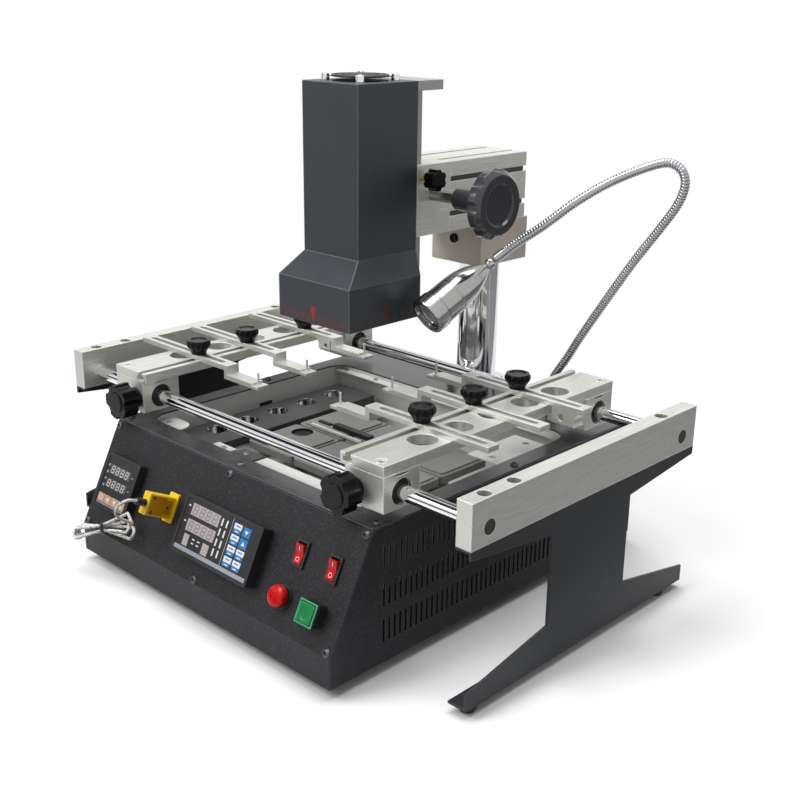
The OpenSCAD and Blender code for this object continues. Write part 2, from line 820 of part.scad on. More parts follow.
module rocker_frame() {
    hole_w = rocker_frame_w - 4;
    hole_h = rocker_frame_h - 4;
    difference() {
        union() {
            slab(rocker_frame_w, rocker_frame_h, 1.5, 2);
            translate([0, 0, -12])
                slab(rocker_body_w, rocker_body_h, 0.8, 12);
        }
        translate([0, 0, -8])
            linear_extrude(12)
                square([hole_w, hole_h], center = true);
        translate([0, 0, rocker_axis])
            rotate([0, 90, 0])
                cylinder(d = 2 + 2 * fit, h = hole_w + 1.6, center = true, $fn = 32);
    }
}
module rocker(u) {
    half = rocker_frame_h / 2 - 2.8;
    thick = rocker_frame_w - 4.8;
    color("#b3181c")
        on_panel(u, rocker_v, rocker_axis)
            rotate([rocker_tilt, 0, 0]) {
                along_x(thick)
                    polygon([
                        [-half, 3.4], [0, 1.7], [half, 3.4], [half - 1, -2], [3, -4.6], [-3, -4.6], [1 - half, -2]
                    ]);
                rotate([0, 90, 0])
                    cylinder(d = 2, h = thick + 1.8, center = true, $fn = 32);
            }
}
module lighting_rocker() {
    rocker(rocker_us[0]);
}
module fan_rocker() {
    rocker(rocker_us[1]);
}
module stop_button() {
    cap_z = collar_t + button_travel + 0.3;
    color("#c3181d")
        on_panel(stop_u, stop_v)
            turned([
                [0, -8], [stop_stem_d / 2, -8], [stop_stem_d / 2, cap_z], [stop_d / 2, cap_z],
                [stop_d / 2, cap_z + 3.5], [0.46 * stop_d, cap_z + 5], [0.36 * stop_d, cap_z + 5.8],
                [0.2 * stop_d, cap_z + 6.2], [0, cap_z + 6.3]
            ]);
}
module start_button() {
    color("#1c8f45")
        on_panel(start_u, start_v, start_proud - 5.8)
            difference() {
                slab(start_key_w, start_key_w, 1.4, 6.6);
                translate([0, 0, 6.2])
                    cylinder(d = 0.7 * start_key_w, h = 1);
            }
}
module sensor_plug() {
    color("#e0b325")
        on_panel(socket_u, socket_v, socket_t + gap) {
            slab(plug_w, plug_h, 1.5, plug_l - gap);
            translate([0, 0, plug_l - gap])
                cylinder(d = 6.4, h = sleeve_l);
            for (k = [-1, 1])
                translate([0, k * blade_pitch, -8])
                    linear_extrude(9)
                        square([blade_t, blade_w], center = true);
        }
}
module sensor_lead() {
    color("#e8e6df")
        on_panel(0, 0)
            tube(lead_points, lead_d, 8, 4);
}
module sensor_hank() {
    color("#e8e6df")
        on_panel(hank_mid[0], hank_mid[1], hank_mid[2])
            rotate(hank_turn)
                linear_extrude(hank_t) {
                    square([hank_l - hank_w, hank_w], center = true);
                    for (s = [-1, 1])
                        translate([s * (hank_l - hank_w) / 2, 0])
                            circle(d = hank_w);
                }
}
module power_inlet() {
    color("#1a1a1b")
        translate([inlet_x, back_y, inlet_z])
            rotate([-90, 0, 0])
                difference() {
                    union() {
                        slab(inlet_w + 22, inlet_h + 6, 3, inlet_proud);
                        translate([0, 0, -22])
                            slab(inlet_w, inlet_h, 1.5, 22);
                    }
                    difference() {
                        translate([0, 0, inlet_proud - 15])
                            slab(inlet_w - 4, inlet_h - 4, 2, 20);
                        for (p = [[-6.5, 2], [6.5, 2], [0, -3]])
                            translate([p[0], p[1], -20])
                                linear_extrude(20)
                                    square([2, 4.6], center = true);
                    }
                    for (s = [-1, 1])
                        translate([s * (inlet_w / 2 + 6.5), 0, -1])
                            cylinder(d = 3.4, h = 6);
                }
}

// Board table
module end_beam(side) {
    color("#c4c3bc")
        difference() {
            translate([side * (beam_x - beam_w / 2), table_y, beam_z + beam_h / 2])
                cube([beam_w, beam_l, beam_h], center = true);
            for (y = rail_ys)
                translate([side * (beam_x - beam_w / 2), y, rail_z])
                    rotate([0, 90, 0])
                        cylinder(d = rail_d + gap, h = beam_w + 2, center = true);
            for (y = [beam_y0 + 20, beam_y0 + 52, beam_y1 - 43])
                translate([side * (beam_x - beam_w / 2), y, beam_z + beam_h - 6])
                    cylinder(d = 10.5, h = 10);
        }
}
module left_beam() {
    end_beam(-1);
}
module right_beam() {
    end_beam(1);
}
module guide_rails() {
    color("#d9dadb")
        for (y = rail_ys)
            translate([0, y, rail_z])
                rotate([0, 90, 0])
                    cylinder(d = rail_d, h = table_w, center = true);
}
module stand(side) {
    waist0 = table_y - stand_waist / 2;
    waist1 = table_y + stand_waist / 2;
    top_z = beam_z - stand_t;
    color("#22242b") {
        translate([side * (beam_x - stand_t / 2), 0, 0])
            along_x(stand_t)
                polygon([
                    [beam_y0, stand_foot_h], [beam_y0, stand_foot_h + 14], [waist0, stand_foot_h + 32],
                    [waist0, beam_z - 17], [beam_y0, beam_z - 7], [beam_y0, beam_z], [beam_y1, beam_z],
                    [beam_y1, beam_z - 7], [waist1, beam_z - 17], [waist1, stand_foot_h + 32],
                    [beam_y1, stand_foot_h + 14], [beam_y1, stand_foot_h]
                ]);
        translate([side * (beam_x - beam_w / 2), table_y, top_z + stand_t / 2])
            cube([beam_w, beam_l, stand_t], center = true);
        translate([side * (beam_x - stand_flange / 2), table_y, stand_foot_h + stand_t / 2])
            cube([stand_flange, beam_l, stand_t], center = true);
    }
}
module left_stand() {
    stand(-1);
}
module right_stand() {
    stand(1);
}

// Carriages: drawn from the inner edge outwards, then set to their side
module on_carriage(side) {
    if (side > 0)
        translate([right_inner, 0, 0])
            children();
    else
        translate([-left_inner, 0, 0])
            mirror([1, 0, 0])
                children();
}
module carriage_bar() {
    color("#c9c8c1")
        difference() {
            along_y(beam_y0, beam_l)
                difference() {
                    translate([0, bar_under])
                        square([bar_w, bar_t]);
                    translate([slot_x - slot_w / 2, bar_top - slot_lip])
                        square([slot_w, slot_lip + 1]);
                    translate([slot_x - slot_under_w / 2, bar_under + slot_floor])
                        square([slot_under_w, bar_t - slot_lip - slot_floor]);
                }
            for (i = [-2 : 2])
                translate([bar_hole_x, table_y + i * bar_hole_pitch, bar_under - 1])
                    cylinder(d = bar_hole_d, h = bar_t + 2);
            for (y = [beam_y0 + end_screw_in, beam_y1 - end_screw_in])
                translate([bar_w - 9, y, bar_top]) {
                    difference() {
                        cylinder(d = end_screw_d + 1.4, h = 1.6, center = true);
                        cylinder(d = end_screw_d, h = 3, center = true);
                    }
                    cylinder(d = 0.55 * end_screw_d, h = 6, center = true, $fn = 6);
                }
        }
}
module left_carriage() {
    on_carriage(-1)
        carriage_bar();
}
module right_carriage() {
    on_carriage(1)
        carriage_bar();
}
module bearing_block() {
    x0 = bar_w - block_w;
    slit_l = 12;
    slit_h = 1.6;
    difference() {
        translate([x0 + block_w / 2, 0, 0])
            along_x(block_w)
                difference() {
                    translate([-block_l / 2, block_z])
                        square([block_l, bar_under - block_z]);
                    translate([-slit_l / 2, bar_under - 1.75 * slit_h])
                        square([slit_l, slit_h]);
                }
        translate([x0 - 1, 0, rail_z])
            rotate([0, 90, 0])
                cylinder(d = rail_d + 2 * fit, h = block_w + 2);
        for (x = [x0 - 1, bar_w - bush_inset])
            translate([x, 0, rail_z])
                rotate([0, 90, 0])
                    cylinder(d = bush_d, h = bush_inset + 1);
    }
}
module bearings() {
    color("#bfbeb6") {
        difference() {
            translate([0, rail_ys[0], 0])
                bearing_block();
            translate([lock_x, lock_front - 1, rail_z])
                rotate([-90, 0, 0])
                    cylinder(d = lock_screw_d + 2 * fit, h = lock_bore + 1);
        }
        translate([0, rail_ys[1], 0])
            bearing_block();
    }
}
module left_bearings() {
    on_carriage(-1)
        bearings();
}
module right_bearings() {
    on_carriage(1)
        bearings();
}
module lock_knob() {
    color("#141415")
        translate([lock_x, lock_front - 0.4, rail_z])
            rotate([90, 0, 0]) {
                translate([0, 0, -lock_bore + 0.6])
                    cylinder(d = lock_screw_d, h = lock_bore);
                cylinder(d = 0.6 * lock_d, h = lock_hub + 0.5);
                translate([0, 0, lock_hub])
                    lobed(lock_d, lock_t, 5, 6);
                translate([0, 0, lock_hub + lock_t])
                    cylinder(d = 0.6 * lock_d, h = 1);
            }
}
module left_lock_knob() {
    on_carriage(-1)
        lock_knob();
}
module right_lock_knob() {
    on_carriage(1)
        lock_knob();
}

// Board arms and their thumb knobs
module board_arm(y, reach) {
    tip_x = -reach;
    step_x = tip_x + arm_tip;
    end_x = tip_x + arm_l;
    tip_top = arm_z - arm_step + arm_t;
    slot_l = arm_l - arm_tip - 2 * arm_slot_end - arm_slot_w;
    difference() {
        along_y(table_y + y - arm_w / 2, arm_w)
            polygon([
                [tip_x, arm_z - arm_step], [step_x, arm_z - arm_step], [step_x, arm_z], [end_x, arm_z],
                [end_x, arm_z + arm_t], [step_x - arm_t, arm_z + arm_t], [step_x - arm_t, tip_top],
                [tip_x + arm_lip, tip_top], [tip_x + arm_lip, tip_top - lip_drop], [tip_x, tip_top - lip_drop]
            ]);
        translate([(step_x + end_x) / 2, table_y + y, arm_z - 1])
            linear_extrude(arm_t + 2) {
                square([slot_l, arm_slot_w], center = true);
                for (s = [-1, 1])
                    translate([s * slot_l / 2, 0])
                        circle(d = arm_slot_w, $fn = 32);
            }
    }
    translate([tip_x + arm_lip - pin_d, table_y + y, tip_top - lip_drop - 1])
        cylinder(d = pin_d, h = pin_h + lip_drop + 1, $fn = 32);
}
module hanger(y, x0, x1, drop, hole_x, hole_d) {
    difference() {
        translate([x0, table_y + y - arm_w / 2, arm_z - drop])
            cube([x1 - x0, arm_w, drop]);
        translate([hole_x, table_y + y, arm_z - 0.55 * drop])
            rotate([90, 0, 0])
                cylinder(d = hole_d, h = arm_w + 2, center = true);
        translate([(x0 + x1) / 2, table_y + y, arm_z - 1])
            cube([x1 - x0 + 2, arm_slot_w, 2.02], center = true);
        translate([x1 + 0.42 * drop, table_y + y, arm_z - 0.62 * drop])
            rotate([90, 0, 0])
                cylinder(r = 0.69 * drop, h = arm_w + 2, center = true);
    }
}
module left_arm(i) {
    color("#cfcec7")
        on_carriage(-1)
            board_arm(left_arm_ys[i], left_reach);
}
module right_arm(i) {
    color("#cfcec7")
        on_carriage(1)
            board_arm(right_arm_ys[i], right_reach);
}
module left_arm_front() {
    left_arm(0);
}
module left_arm_middle() {
    left_arm(1);
}
module left_arm_rear() {
    color("#cfcec7") {
        left_arm(2);
        on_carriage(-1)
            hanger(left_arm_ys[2], -35.5, -17, 9, -29.5, 4.5);
    }
}
module right_arm_front() {
    right_arm(0);
}
module right_arm_middle() {
    right_arm(1);
}
module right_arm_rear() {
    color("#cfcec7") {
        right_arm(2);
        on_carriage(1)
            hanger(right_arm_ys[2], bar_w + 4.5, bar_w + 29.5, 13, bar_w + 14, 5.5);
    }
}
module thumb_knob(y) {
    head_z = bar_top - slot_lip - gap - bolt_head_h;
    r = thumb_d / 2;
    color("#151516")
        translate([slot_x, table_y + y, 0]) {
            translate([0, 0, head_z])
                cylinder(d = bolt_head_d, h = bolt_head_h);
            translate([0, 0, head_z + 1])
                cylinder(d = bolt_d, h = arm_z + arm_t + 4 - head_z);
            translate([0, 0, arm_z + arm_t + gap])
                difference() {
                    turned([
                        [0, 0], [0.62 * r, 0], [0.66 * r, 0.18 * thumb_h], [0.92 * r, 0.52 * thumb_h],
                        [r, 0.64 * thumb_h], [r, 0.82 * thumb_h], [0.9 * r, thumb_h], [0.7 * r, thumb_h],
                        [0.62 * r, 0.93 * thumb_h], [0, 0.93 * thumb_h]
                    ]);
                    for (i = [0 : thumb_flutes - 1])
                        rotate(i * 360 / thumb_flutes)
                            translate([r + 0.9, 0, -1])
                                cylinder(r = 2, h = thumb_h + 2, $fn = 32);
                }
        }
}
module left_knob(i) {
    on_carriage(-1)
        thumb_knob(left_arm_ys[i]);
}
module right_knob(i) {
    on_carriage(1)
        thumb_knob(right_arm_ys[i]);
}
module left_knob_front() {
    left_knob(0);
}
module left_knob_middle() {
    left_knob(1);
}
module left_knob_rear() {
    left_knob(2);
}
module right_knob_front() {
    right_knob(0);
}
module right_knob_middle() {
    right_knob(1);
}
module right_knob_rear() {
    right_knob(2);
}

// Post and arm
module post() {
    color("#dcdddd")
        translate([0, post_y, deck_h]) {
            cylinder(d = post_d, h = boom_rise - 0.3);
            difference() {
                cylinder(d = post_flange_d, h = post_flange_h);
                for (a = [45 : 90 : 315])
                    rotate(a)
                        translate([0.42 * post_flange_d, 0, post_flange_h - 3])
                            cylinder(d = 5, h = 5);
            }
        }
}
module arm_clamp() {
    color("#cbc3b8")
        difference() {
            box_at(-boom_w / 2, boom_w / 2, clamp_y1 - clamp_l, clamp_y1, boom_z - clamp_h, boom_z);
            translate([0, post_y, boom_z - clamp_h - 1])
                cylinder(d = post_d + 2 * fit, h = clamp_h + 2);
            translate([-1, post_y, boom_z - clamp_h - 1])
                cube([2, clamp_y1 - post_y + 1, clamp_h + 2]);
            translate([boom_w / 2 - 12, clamp_y1 - clamp_l - 1, boom_z - 12])
                rotate([-90, 0, 0])
                    cylinder(d = 7, h = 7);
        }
}
module boom_slot() {
    translate([-boom_slot_w / 2, boom_w / 2 - 2.5])
        square([boom_slot_w, 4]);
    translate([-boom_under_w / 2, boom_w / 2 - 6.5])
        square([boom_under_w, 4.2]);
}
module arm_beam() {
    color("#c8c7bf")
        translate([0, 0, boom_z + boom_w / 2])
            along_y(boom_y0, boom_l)
                difference() {
                    square([boom_w, boom_w], center = true);
                    for (a = [0 : 90 : 270])
                        rotate(a)
                            for (s = [-1, 1])
                                translate([s * boom_w / 4, 0])
                                    boom_slot();
                    square([24, 24], center = true);
                }
}
module slide_block() {
    cheek = column_w / 2 + fit;
    color("#c8c7bf") {
        difference() {
            box_at(-boom_w / 2, boom_w / 2, slide_y0, boom_y0, boom_z, boom_top);
            box_at(-cheek, cheek, slide_y0 - 1, column_y1 + fit, boom_z - 1, boom_top + 1);
            box_at(-rack_w / 2 - 0.5, rack_w / 2 + 0.5, column_y1, rack_pitch_y + 1.6,
                boom_z - 1, boom_top + 1);
            translate([0, pinion_y, pinion_z])
                rotate([0, 90, 0])
                    cylinder(r = pinion_r + 1.6, h = rack_w + 4, center = true);
            translate([-20, pinion_y, pinion_z])
                rotate([0, 90, 0])
                    cylinder(d = shaft_d + 2 * fit, h = boom_w / 2 + 21);
            translate([cheek - 1, lock_y, lock_z])
                rotate([0, 90, 0])
                    cylinder(d = 4 + 2 * fit, h = 20);
        }
        box_at(-boom_w / 2, 8 - boom_w / 2, rack_pitch_y + 2, clamp_y1 - clamp_l, boom_z - 10, boom_z);
    }
}
module head_lock_knob() {
    color("#151516")
        translate([column_w / 2 + fit + 0.3, lock_y, lock_z])
            rotate([0, 90, 0]) {
                cylinder(d = 4, h = 15);
                translate([0, 0, 14])
                    lobed(head_lock_d, head_lock_t, 6, 3.5);
            }
}
module handwheel() {
    r = wheel_d / 2;
    z1 = wheel_hub + wheel_t;
    color("#111112")
        translate([boom_w / 2 + wheel_shaft, pinion_y, pinion_z])
            rotate([0, 90, 0])
                difference() {
                    turned([
                        [0, 0], [0.33 * r, 0], [0.35 * r, 0.8 * wheel_hub], [0.48 * r, wheel_hub],
                        [0.84 * r, wheel_hub], [r, wheel_hub + 0.25 * wheel_t], [r, z1 - 0.3 * wheel_t],
                        [0.86 * r, z1], [0.62 * r, z1], [0.58 * r, z1 - 2], [0, z1 - 2]
                    ]);
                    translate([0, 0, -1])
                        cylinder(d = shaft_d + gap, h = wheel_hub);
                    for (i = [0 : wheel_grooves - 1])
                        rotate(i * 360 / wheel_grooves)
                            translate([1.2 * r, 0, wheel_hub - 1])
                                cylinder(r = 0.28 * r, h = wheel_t + 2);
                }
}
module pinion_shape() {
    root_r = pinion_r - 1.25 * tooth_m;
    circle(r = root_r);
    for (i = [0 : pinion_teeth - 1])
        rotate(i * 360 / pinion_teeth)
            polygon([
                [root_r - 0.4, -tooth_half - tooth_lean], [pinion_r, -tooth_half],
                [pinion_r + tooth_m, -tooth_half + tooth_lean], [pinion_r + tooth_m, tooth_half - tooth_lean],
                [pinion_r, tooth_half], [root_r - 0.4, tooth_half + tooth_lean]
            ]);
}
module pinion_shaft() {
    shaft_l = 18 + boom_w / 2 + wheel_shaft + wheel_hub - 2;
    color("#a9aaab")
        translate([0, pinion_y, pinion_z]) {
            rotate([90, 0, 90])
                linear_extrude(rack_w, center = true)
                    rotate(180)
                        pinion_shape();
            translate([-18, 0, 0])
                rotate([0, 90, 0])
                    difference() {
                        cylinder(d = shaft_d, h = shaft_l);
                        translate([0, 0, 18 - rack_w / 2 - 1])
                            difference() {
                                cylinder(d = shaft_d + 2, h = rack_w + 2);
                                translate([0, 0, -1])
                                    cylinder(r = pinion_r - 1.25 * tooth_m - 0.2, h = rack_w + 4);
                            }
                    }
        }
}
module head_column() {
    teeth_y = rack_pitch_y - column_y1;
    first = ceil((flare_z0 + 4 - pinion_z) / tooth_pitch);
    last = floor((head_top - bracket_t - 8 - pinion_z) / tooth_pitch);
    color("#bdbcb5") {
        box_at(-column_w / 2, column_w / 2, head_y1, column_y1, flare_z0, head_top - bracket_t);
        box_at(-tower_w / 2, tower_w / 2, head_y1, head_y1 + bracket_l, head_top - bracket_t, head_top);
        translate([0, column_y1, pinion_z])
            along_x(rack_w)
                polygon(concat(
                    [[-1, (last + 1) * tooth_pitch], [-1, first * tooth_pitch]],
                    [for (i = [first : last]) let (z = (i + 0.5) * tooth_pitch) each [
                        [rack_root - 0.2, z - tooth_half - tooth_lean - 0.1],
                        [teeth_y + tooth_m, z - tooth_half + tooth_lean],
                        [teeth_y + tooth_m, z + tooth_half - tooth_lean],
                        [rack_root - 0.2, z + tooth_half + tooth_lean + 0.1]
                    ]]
                ));
    }
}

// Heater head
module head_side(inset) {
    polygon([
        [skirt_y0 + inset, head_bottom - inset], [skirt_y0 + inset, flare_z0], [head_y0 + inset, flare_z1],
        [head_y0 + inset, head_top - inset], [head_y1 - inset, head_top - inset], [head_y1 - inset, flare_z1],
        [skirt_y1 - inset, flare_z0], [skirt_y1 - inset, head_bottom - inset]
    ]);
}
module head_front(inset) {
    w0 = skirt_w / 2 - inset;
    w1 = tower_w / 2 - inset;
    polygon([
        [-w0, head_bottom - inset], [-w0, flare_z0], [-w1, flare_z1], [-w1, head_top - inset],
        [w1, head_top - inset], [w1, flare_z1], [w0, flare_z0], [w0, head_bottom - inset]
    ]);
}
module head_solid(inset) {
    intersection() {
        along_x(skirt_w + 2)
            head_side(inset);
        along_y(skirt_y0 - 1, head_y1 - skirt_y0 + 2)
            head_front(inset);
    }
}
module head_housing() {
    color("#2a2b2e")
        difference() {
            head_solid(0);
            head_solid(head_t);
            translate([0, head_cy, head_top - 3])
                cylinder(d = fan_d, h = 6);
            for (sx = [-1, 1])
                for (sy = [-1, 1])
                    translate([sx * fan_pitch / 2, head_cy + sy * fan_pitch / 2, head_top - 3])
                        cylinder(d = 3.4, h = 6, $fn = 32);
        }
}
module upper_heater() {
    w = skirt_w - 2 * head_t - 2 * gap;
    l = skirt_y1 - skirt_y0 - 2 * head_t - 2 * gap;
    tile = min(w, l) - 6;
    color("#45433f")
        translate([0, skirt_cy, 0]) {
            translate([0, 0, flare_z0 - 8])
                linear_extrude(1.5)
                    square([w, l], center = true);
            translate([0, 0, head_bottom + 14])
                cylinder(d = 22, h = flare_z0 - 7 - head_bottom - 14);
            translate([0, 0, head_bottom + 7])
                slab(tile, tile, 4, 8);
            translate([0, 0, head_bottom + 5.5])
                slab(tile - 8, tile - 8, 4, 2);
        }
}
module fan_frame() {
    z1 = head_top - head_t;
    guard_z = head_top + 4;
    color("#1a1a1b")
        translate([0, head_cy, 0]) {
            difference() {
                translate([0, 0, z1 - fan_t])
                    slab(fan_w, fan_w, 3, fan_t);
                translate([0, 0, z1 - fan_t - 1])
                    cylinder(d = fan_d, h = fan_t + 2);
                for (sx = [-1, 1])
                    for (sy = [-1, 1])
                        translate([sx * fan_pitch / 2, sy * fan_pitch / 2, z1 - fan_t - 1])
                            cylinder(d = 3.1, h = fan_t + 2, $fn = 32);
            }
            translate([0, 0, z1 - fan_t]) {
                cylinder(d = 21, h = 2);
                cylinder(d = 3, h = 8, $fn = 32);
                for (a = [45, 135])
                    rotate(a)
                        translate([0, 0, 1])
                            cube([fan_d + 2, 4, 2], center = true);
            }
            for (r = [6, 12, 18, 23])
                translate([0, 0, guard_z])
                    rotate_extrude()
                        translate([r, 0])
                            circle(d = 1.8, $fn = 24);
            for (a = [45 : 90 : 315])
                rotate(a) {
                    translate([0, 0, guard_z])
                        rotate([0, 90, 0])
                            cylinder(d = 1.8, h = fan_pitch / sqrt(2), $fn = 24);
                    translate([fan_pitch / sqrt(2), 0, z1 - 6])
                        cylinder(d = 3.1, h = head_top - z1 + 12, $fn = 32);
                    translate([fan_pitch / sqrt(2), 0, head_top])
                        cylinder(d = 7, h = 5.5);
                }
        }
}
module fan_rotor() {
    z0 = head_top - head_t - fan_t + 2.5;
    blade_h = fan_t - 4;
    color("#232325")
        translate([0, head_cy, z0])
            difference() {
                union() {
                    cylinder(d = 20, h = blade_h);
                    intersection() {
                        cylinder(d = fan_d - 3, h = blade_h);
                        for (i = [0 : 6])
                            rotate(i * 360 / 7)
                                translate([16, 0, blade_h / 2])
                                    rotate([38, 0, 0])
                                        cube([28, 1.4, 24], center = true);
                    }
                }
                translate([0, 0, -1])
                    cylinder(d = 3 + 2 * fit, h = 7.5, $fn = 32);
            }
}

// Lamp
module lamp_base() {
    color("#2a2b2d")
        translate([lamp_x, lamp_y, deck_h])
            turned([
                [0, 0], [13, 0], [13, 4], [11, 6], [8, 7], [7.5, 16], [6.5, lamp_base_h], [0, lamp_base_h]
            ]);
}
module gooseneck() {
    color("#b8babb")
        translate([lamp_x, lamp_y, deck_h])
            tube(neck_points, neck_d, 12, 4);
}
module lamp_head() {
    r = lamp_d / 2;
    z1 = lamp_l + 6;
    back_x = 0.975 * r;
    turn = atan2(lamp_dir[1], lamp_dir[0]);
    lean = acos(lamp_dir[2] / norm(lamp_dir));
    color("#c2c4c5")
        translate([lamp_x, lamp_y, deck_h] + lamp_pivot)
            rotate([0, lean, turn]) {
                sphere(d = 10);
                rotate([90, 0, 0])
                    cylinder(d = lamp_pin_d, h = lamp_pin_l, center = true, $fn = 32);
                rotate_extrude() {
                    intersection() {
                        translate([back_x - lamp_back_r, lamp_back_l])
                            circle(r = lamp_back_r, $fn = 128);
                        translate([0, 3])
                            square([r, lamp_back_l - 3]);
                    }
                    polygon([
                        [0, lamp_back_l - 1], [back_x, lamp_back_l - 1], [back_x, 45], [0.94 * r, 45.4],
                        [0.94 * r, 46.6], [0.985 * r, 47], [0.985 * r, z1 - 14], [0.945 * r, z1 - 13.6],
                        [0.945 * r, z1 - 12.4], [1.04 * r, z1 - 12], [1.04 * r, z1 - 1], [r, z1],
                        [0.86 * r, z1], [0.8 * r, z1 - 6], [0, z1 - 6]
                    ]);
                }
            }
}

base_pan();
left_side_panel();
right_side_panel();
front_panel();
top_deck();
cover_screws();
rubber_feet();
bay_liner();
lower_heaters();
heater_rails();
board_support_bar();
lower_controller();
upper_controller();
panel_fittings();
lighting_rocker();
fan_rocker();
stop_button();
start_button();
sensor_plug();
sensor_lead();
sensor_hank();
power_inlet();
left_beam();
right_beam();
guide_rails();
left_stand();
right_stand();
left_carriage();
left_bearings();
left_lock_knob();
right_carriage();
right_bearings();
right_lock_knob();
left_arm_front();
left_arm_middle();
left_arm_rear();
right_arm_front();
right_arm_middle();
right_arm_rear();
left_knob_front();
left_knob_middle();
left_knob_rear();
right_knob_front();
right_knob_middle();
right_knob_rear();
post();
arm_clamp();
arm_beam();
slide_block();
head_lock_knob();
handwheel();
pinion_shaft();
head_column();
head_housing();
upper_heater();
fan_frame();
fan_rotor();
lamp_base();
gooseneck();
lamp_head();
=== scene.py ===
"""Looks of the infrared rework station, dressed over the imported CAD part."""

import math

import bmesh
import bpy
from mathutils import Matrix, Vector


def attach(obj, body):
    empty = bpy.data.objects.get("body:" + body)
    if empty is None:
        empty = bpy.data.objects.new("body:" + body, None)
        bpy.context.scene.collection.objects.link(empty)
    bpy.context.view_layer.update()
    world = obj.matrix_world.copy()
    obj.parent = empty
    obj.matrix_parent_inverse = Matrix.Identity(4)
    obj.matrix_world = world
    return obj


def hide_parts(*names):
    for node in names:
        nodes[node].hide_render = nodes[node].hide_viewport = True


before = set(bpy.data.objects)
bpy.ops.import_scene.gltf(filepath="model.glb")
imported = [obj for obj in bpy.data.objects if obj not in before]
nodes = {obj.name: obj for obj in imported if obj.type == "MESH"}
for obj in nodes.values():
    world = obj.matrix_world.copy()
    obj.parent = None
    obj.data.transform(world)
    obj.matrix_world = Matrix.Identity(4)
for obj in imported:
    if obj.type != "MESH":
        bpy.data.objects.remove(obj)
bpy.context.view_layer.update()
MM = 0.001
QUARTER = math.pi / 2

# Places repeated from the CAD source, in millimetres
CASE_FRONT = -191.1366
STRIP_Z = 35.0
SLOPE = math.atan2(88.5, 44.0)
DECK_H = 123.5
DECK_Y = CASE_FRONT + 44.0
POST_Y = DECK_Y + 300.5
BOOM_BACK = POST_Y + 26
BOOM_LENGTH = 104
BOOM_Z = DECK_H + 167.5
BOOM_HALF = 30
CLAMP_FRONT = BOOM_BACK + 5 - 65
HEAD_Y1 = BOOM_BACK - BOOM_LENGTH - 42 - 3
FAN_Y = HEAD_Y1 - 34
SKIRT_Y0 = HEAD_Y1 - 68 - 20
SKIRT_X1 = 43.0
HEAD_BOTTOM = 226.0
RAIL_Z = 145
RAIL_YS = (DECK_Y + 8.5 + 19, DECK_Y + 8.5 + 283 - 19)
LEDGE_Z = 119.0
LEDGE_Y = DECK_Y + 20.5
HEATER_TOP = 102
HEATER_HOLE = (-56.0, DECK_Y + 124.0)
BAR_HOLES = [(-116.0, DECK_Y + 72.5 + 36.5 * k) for k in range(5)]
HOLE_REACH = 10.3
SENSOR_U, SENSOR_V = -54, 47.5
LAMP_FOOT = Vector((80.0, POST_Y + 18, DECK_H))
LAMP_PIVOT = LAMP_FOOT + Vector((-4.0, -95.0, 145.5))
LAMP_DIR = Vector((-12.0, -65.0, -37.0)).normalized()
SIDES = ("left", "right")
ROWS = ("front", "middle", "rear")


# Frames on the part's faces, X and Y along the face and Z out of it: places in millimetres, frames in metres
def panel_matrix(u, v, w=0.0):
    """On the sloped panel: X along the panel, Y up the slope."""
    c, s = math.cos(SLOPE), math.sin(SLOPE)
    origin = Vector((u, CASE_FRONT + v * c - w * s, STRIP_Z + v * s + w * c)) * MM
    return Matrix.Translation(origin) @ Matrix.Rotation(SLOPE, 4, "X")


def facing_front(x, y, z):
    """On an upright face that looks to the front: X to the right, Y up."""
    return Matrix.Translation(Vector((x, y, z)) * MM) @ Matrix.Rotation(QUARTER, 4, "X")


def facing_right(x, y, z):
    """On an upright face that looks to the right: X to the back, Y up."""
    turned = Matrix.Rotation(QUARTER, 4, "Z") @ Matrix.Rotation(QUARTER, 4, "X")
    return Matrix.Translation(Vector((x, y, z)) * MM) @ turned


def along_axis(place, axis):
    """On the end of a turned piece: Z along its axis."""
    side = axis.orthogonal().normalized()
    m = Matrix((side, axis.cross(side), axis)).transposed().to_4x4()
    m.translation = place * MM
    return m


def on_panel(c):
    """A point of the CAD in the sloped panel's own frame, both in millimetres."""
    return panel_matrix(0, 0).inverted() @ (c * MM) / MM


# Shader nodes
MIX_A, MIX_B, MIX_COLOUR = 6, 7, 2  # the colour sockets of Blender's Mix node


def feed(tree, socket, value):
    """Links a socket to another node's output, or sets it to a plain value."""
    if isinstance(value, bpy.types.NodeSocket):
        tree.links.new(value, socket)
    else:
        socket.default_value = value


def math_node(tree, operation, a, b):
    node = tree.nodes.new("ShaderNodeMath")
    node.operation = operation
    feed(tree, node.inputs[0], a)
    feed(tree, node.inputs[1], b)
    return node.outputs[0]


def noise_node(tree, vector, scale, detail=3.0, rough=0.55):
    node = tree.nodes.new("ShaderNodeTexNoise")
    for label, value in (("Vector", vector), ("Scale", scale), ("Detail", detail), ("Roughness", rough)):
        feed(tree, node.inputs[label], value)
    return node.outputs["Fac"]


def mapping_node(tree, vector, scale, turn=0.0):
    node = tree.nodes.new("ShaderNodeMapping")
    for label, value in (("Vector", vector), ("Scale", scale), ("Rotation", (0, 0, turn))):
        feed(tree, node.inputs[label], value)
    return node.outputs["Vector"]


def range_node(tree, value, low, high, out=(0.0, 1.0), kind="LINEAR"):
    node = tree.nodes.new("ShaderNodeMapRange")
    node.interpolation_type = kind
    tree.links.new(value, node.inputs["Value"])
    for label, number in zip(("From Min", "From Max", "To Min", "To Max"), (low, high, *out)):
        node.inputs[label].default_value = number
    return node.outputs["Result"]


def mix_colour(tree, factor, a, b):
    node = tree.nodes.new("ShaderNodeMix")
    node.data_type = "RGBA"
    for index, value in ((0, factor), (MIX_A, a), (MIX_B, b)):
        feed(tree, node.inputs[index], value)
    return node.outputs[MIX_COLOUR]


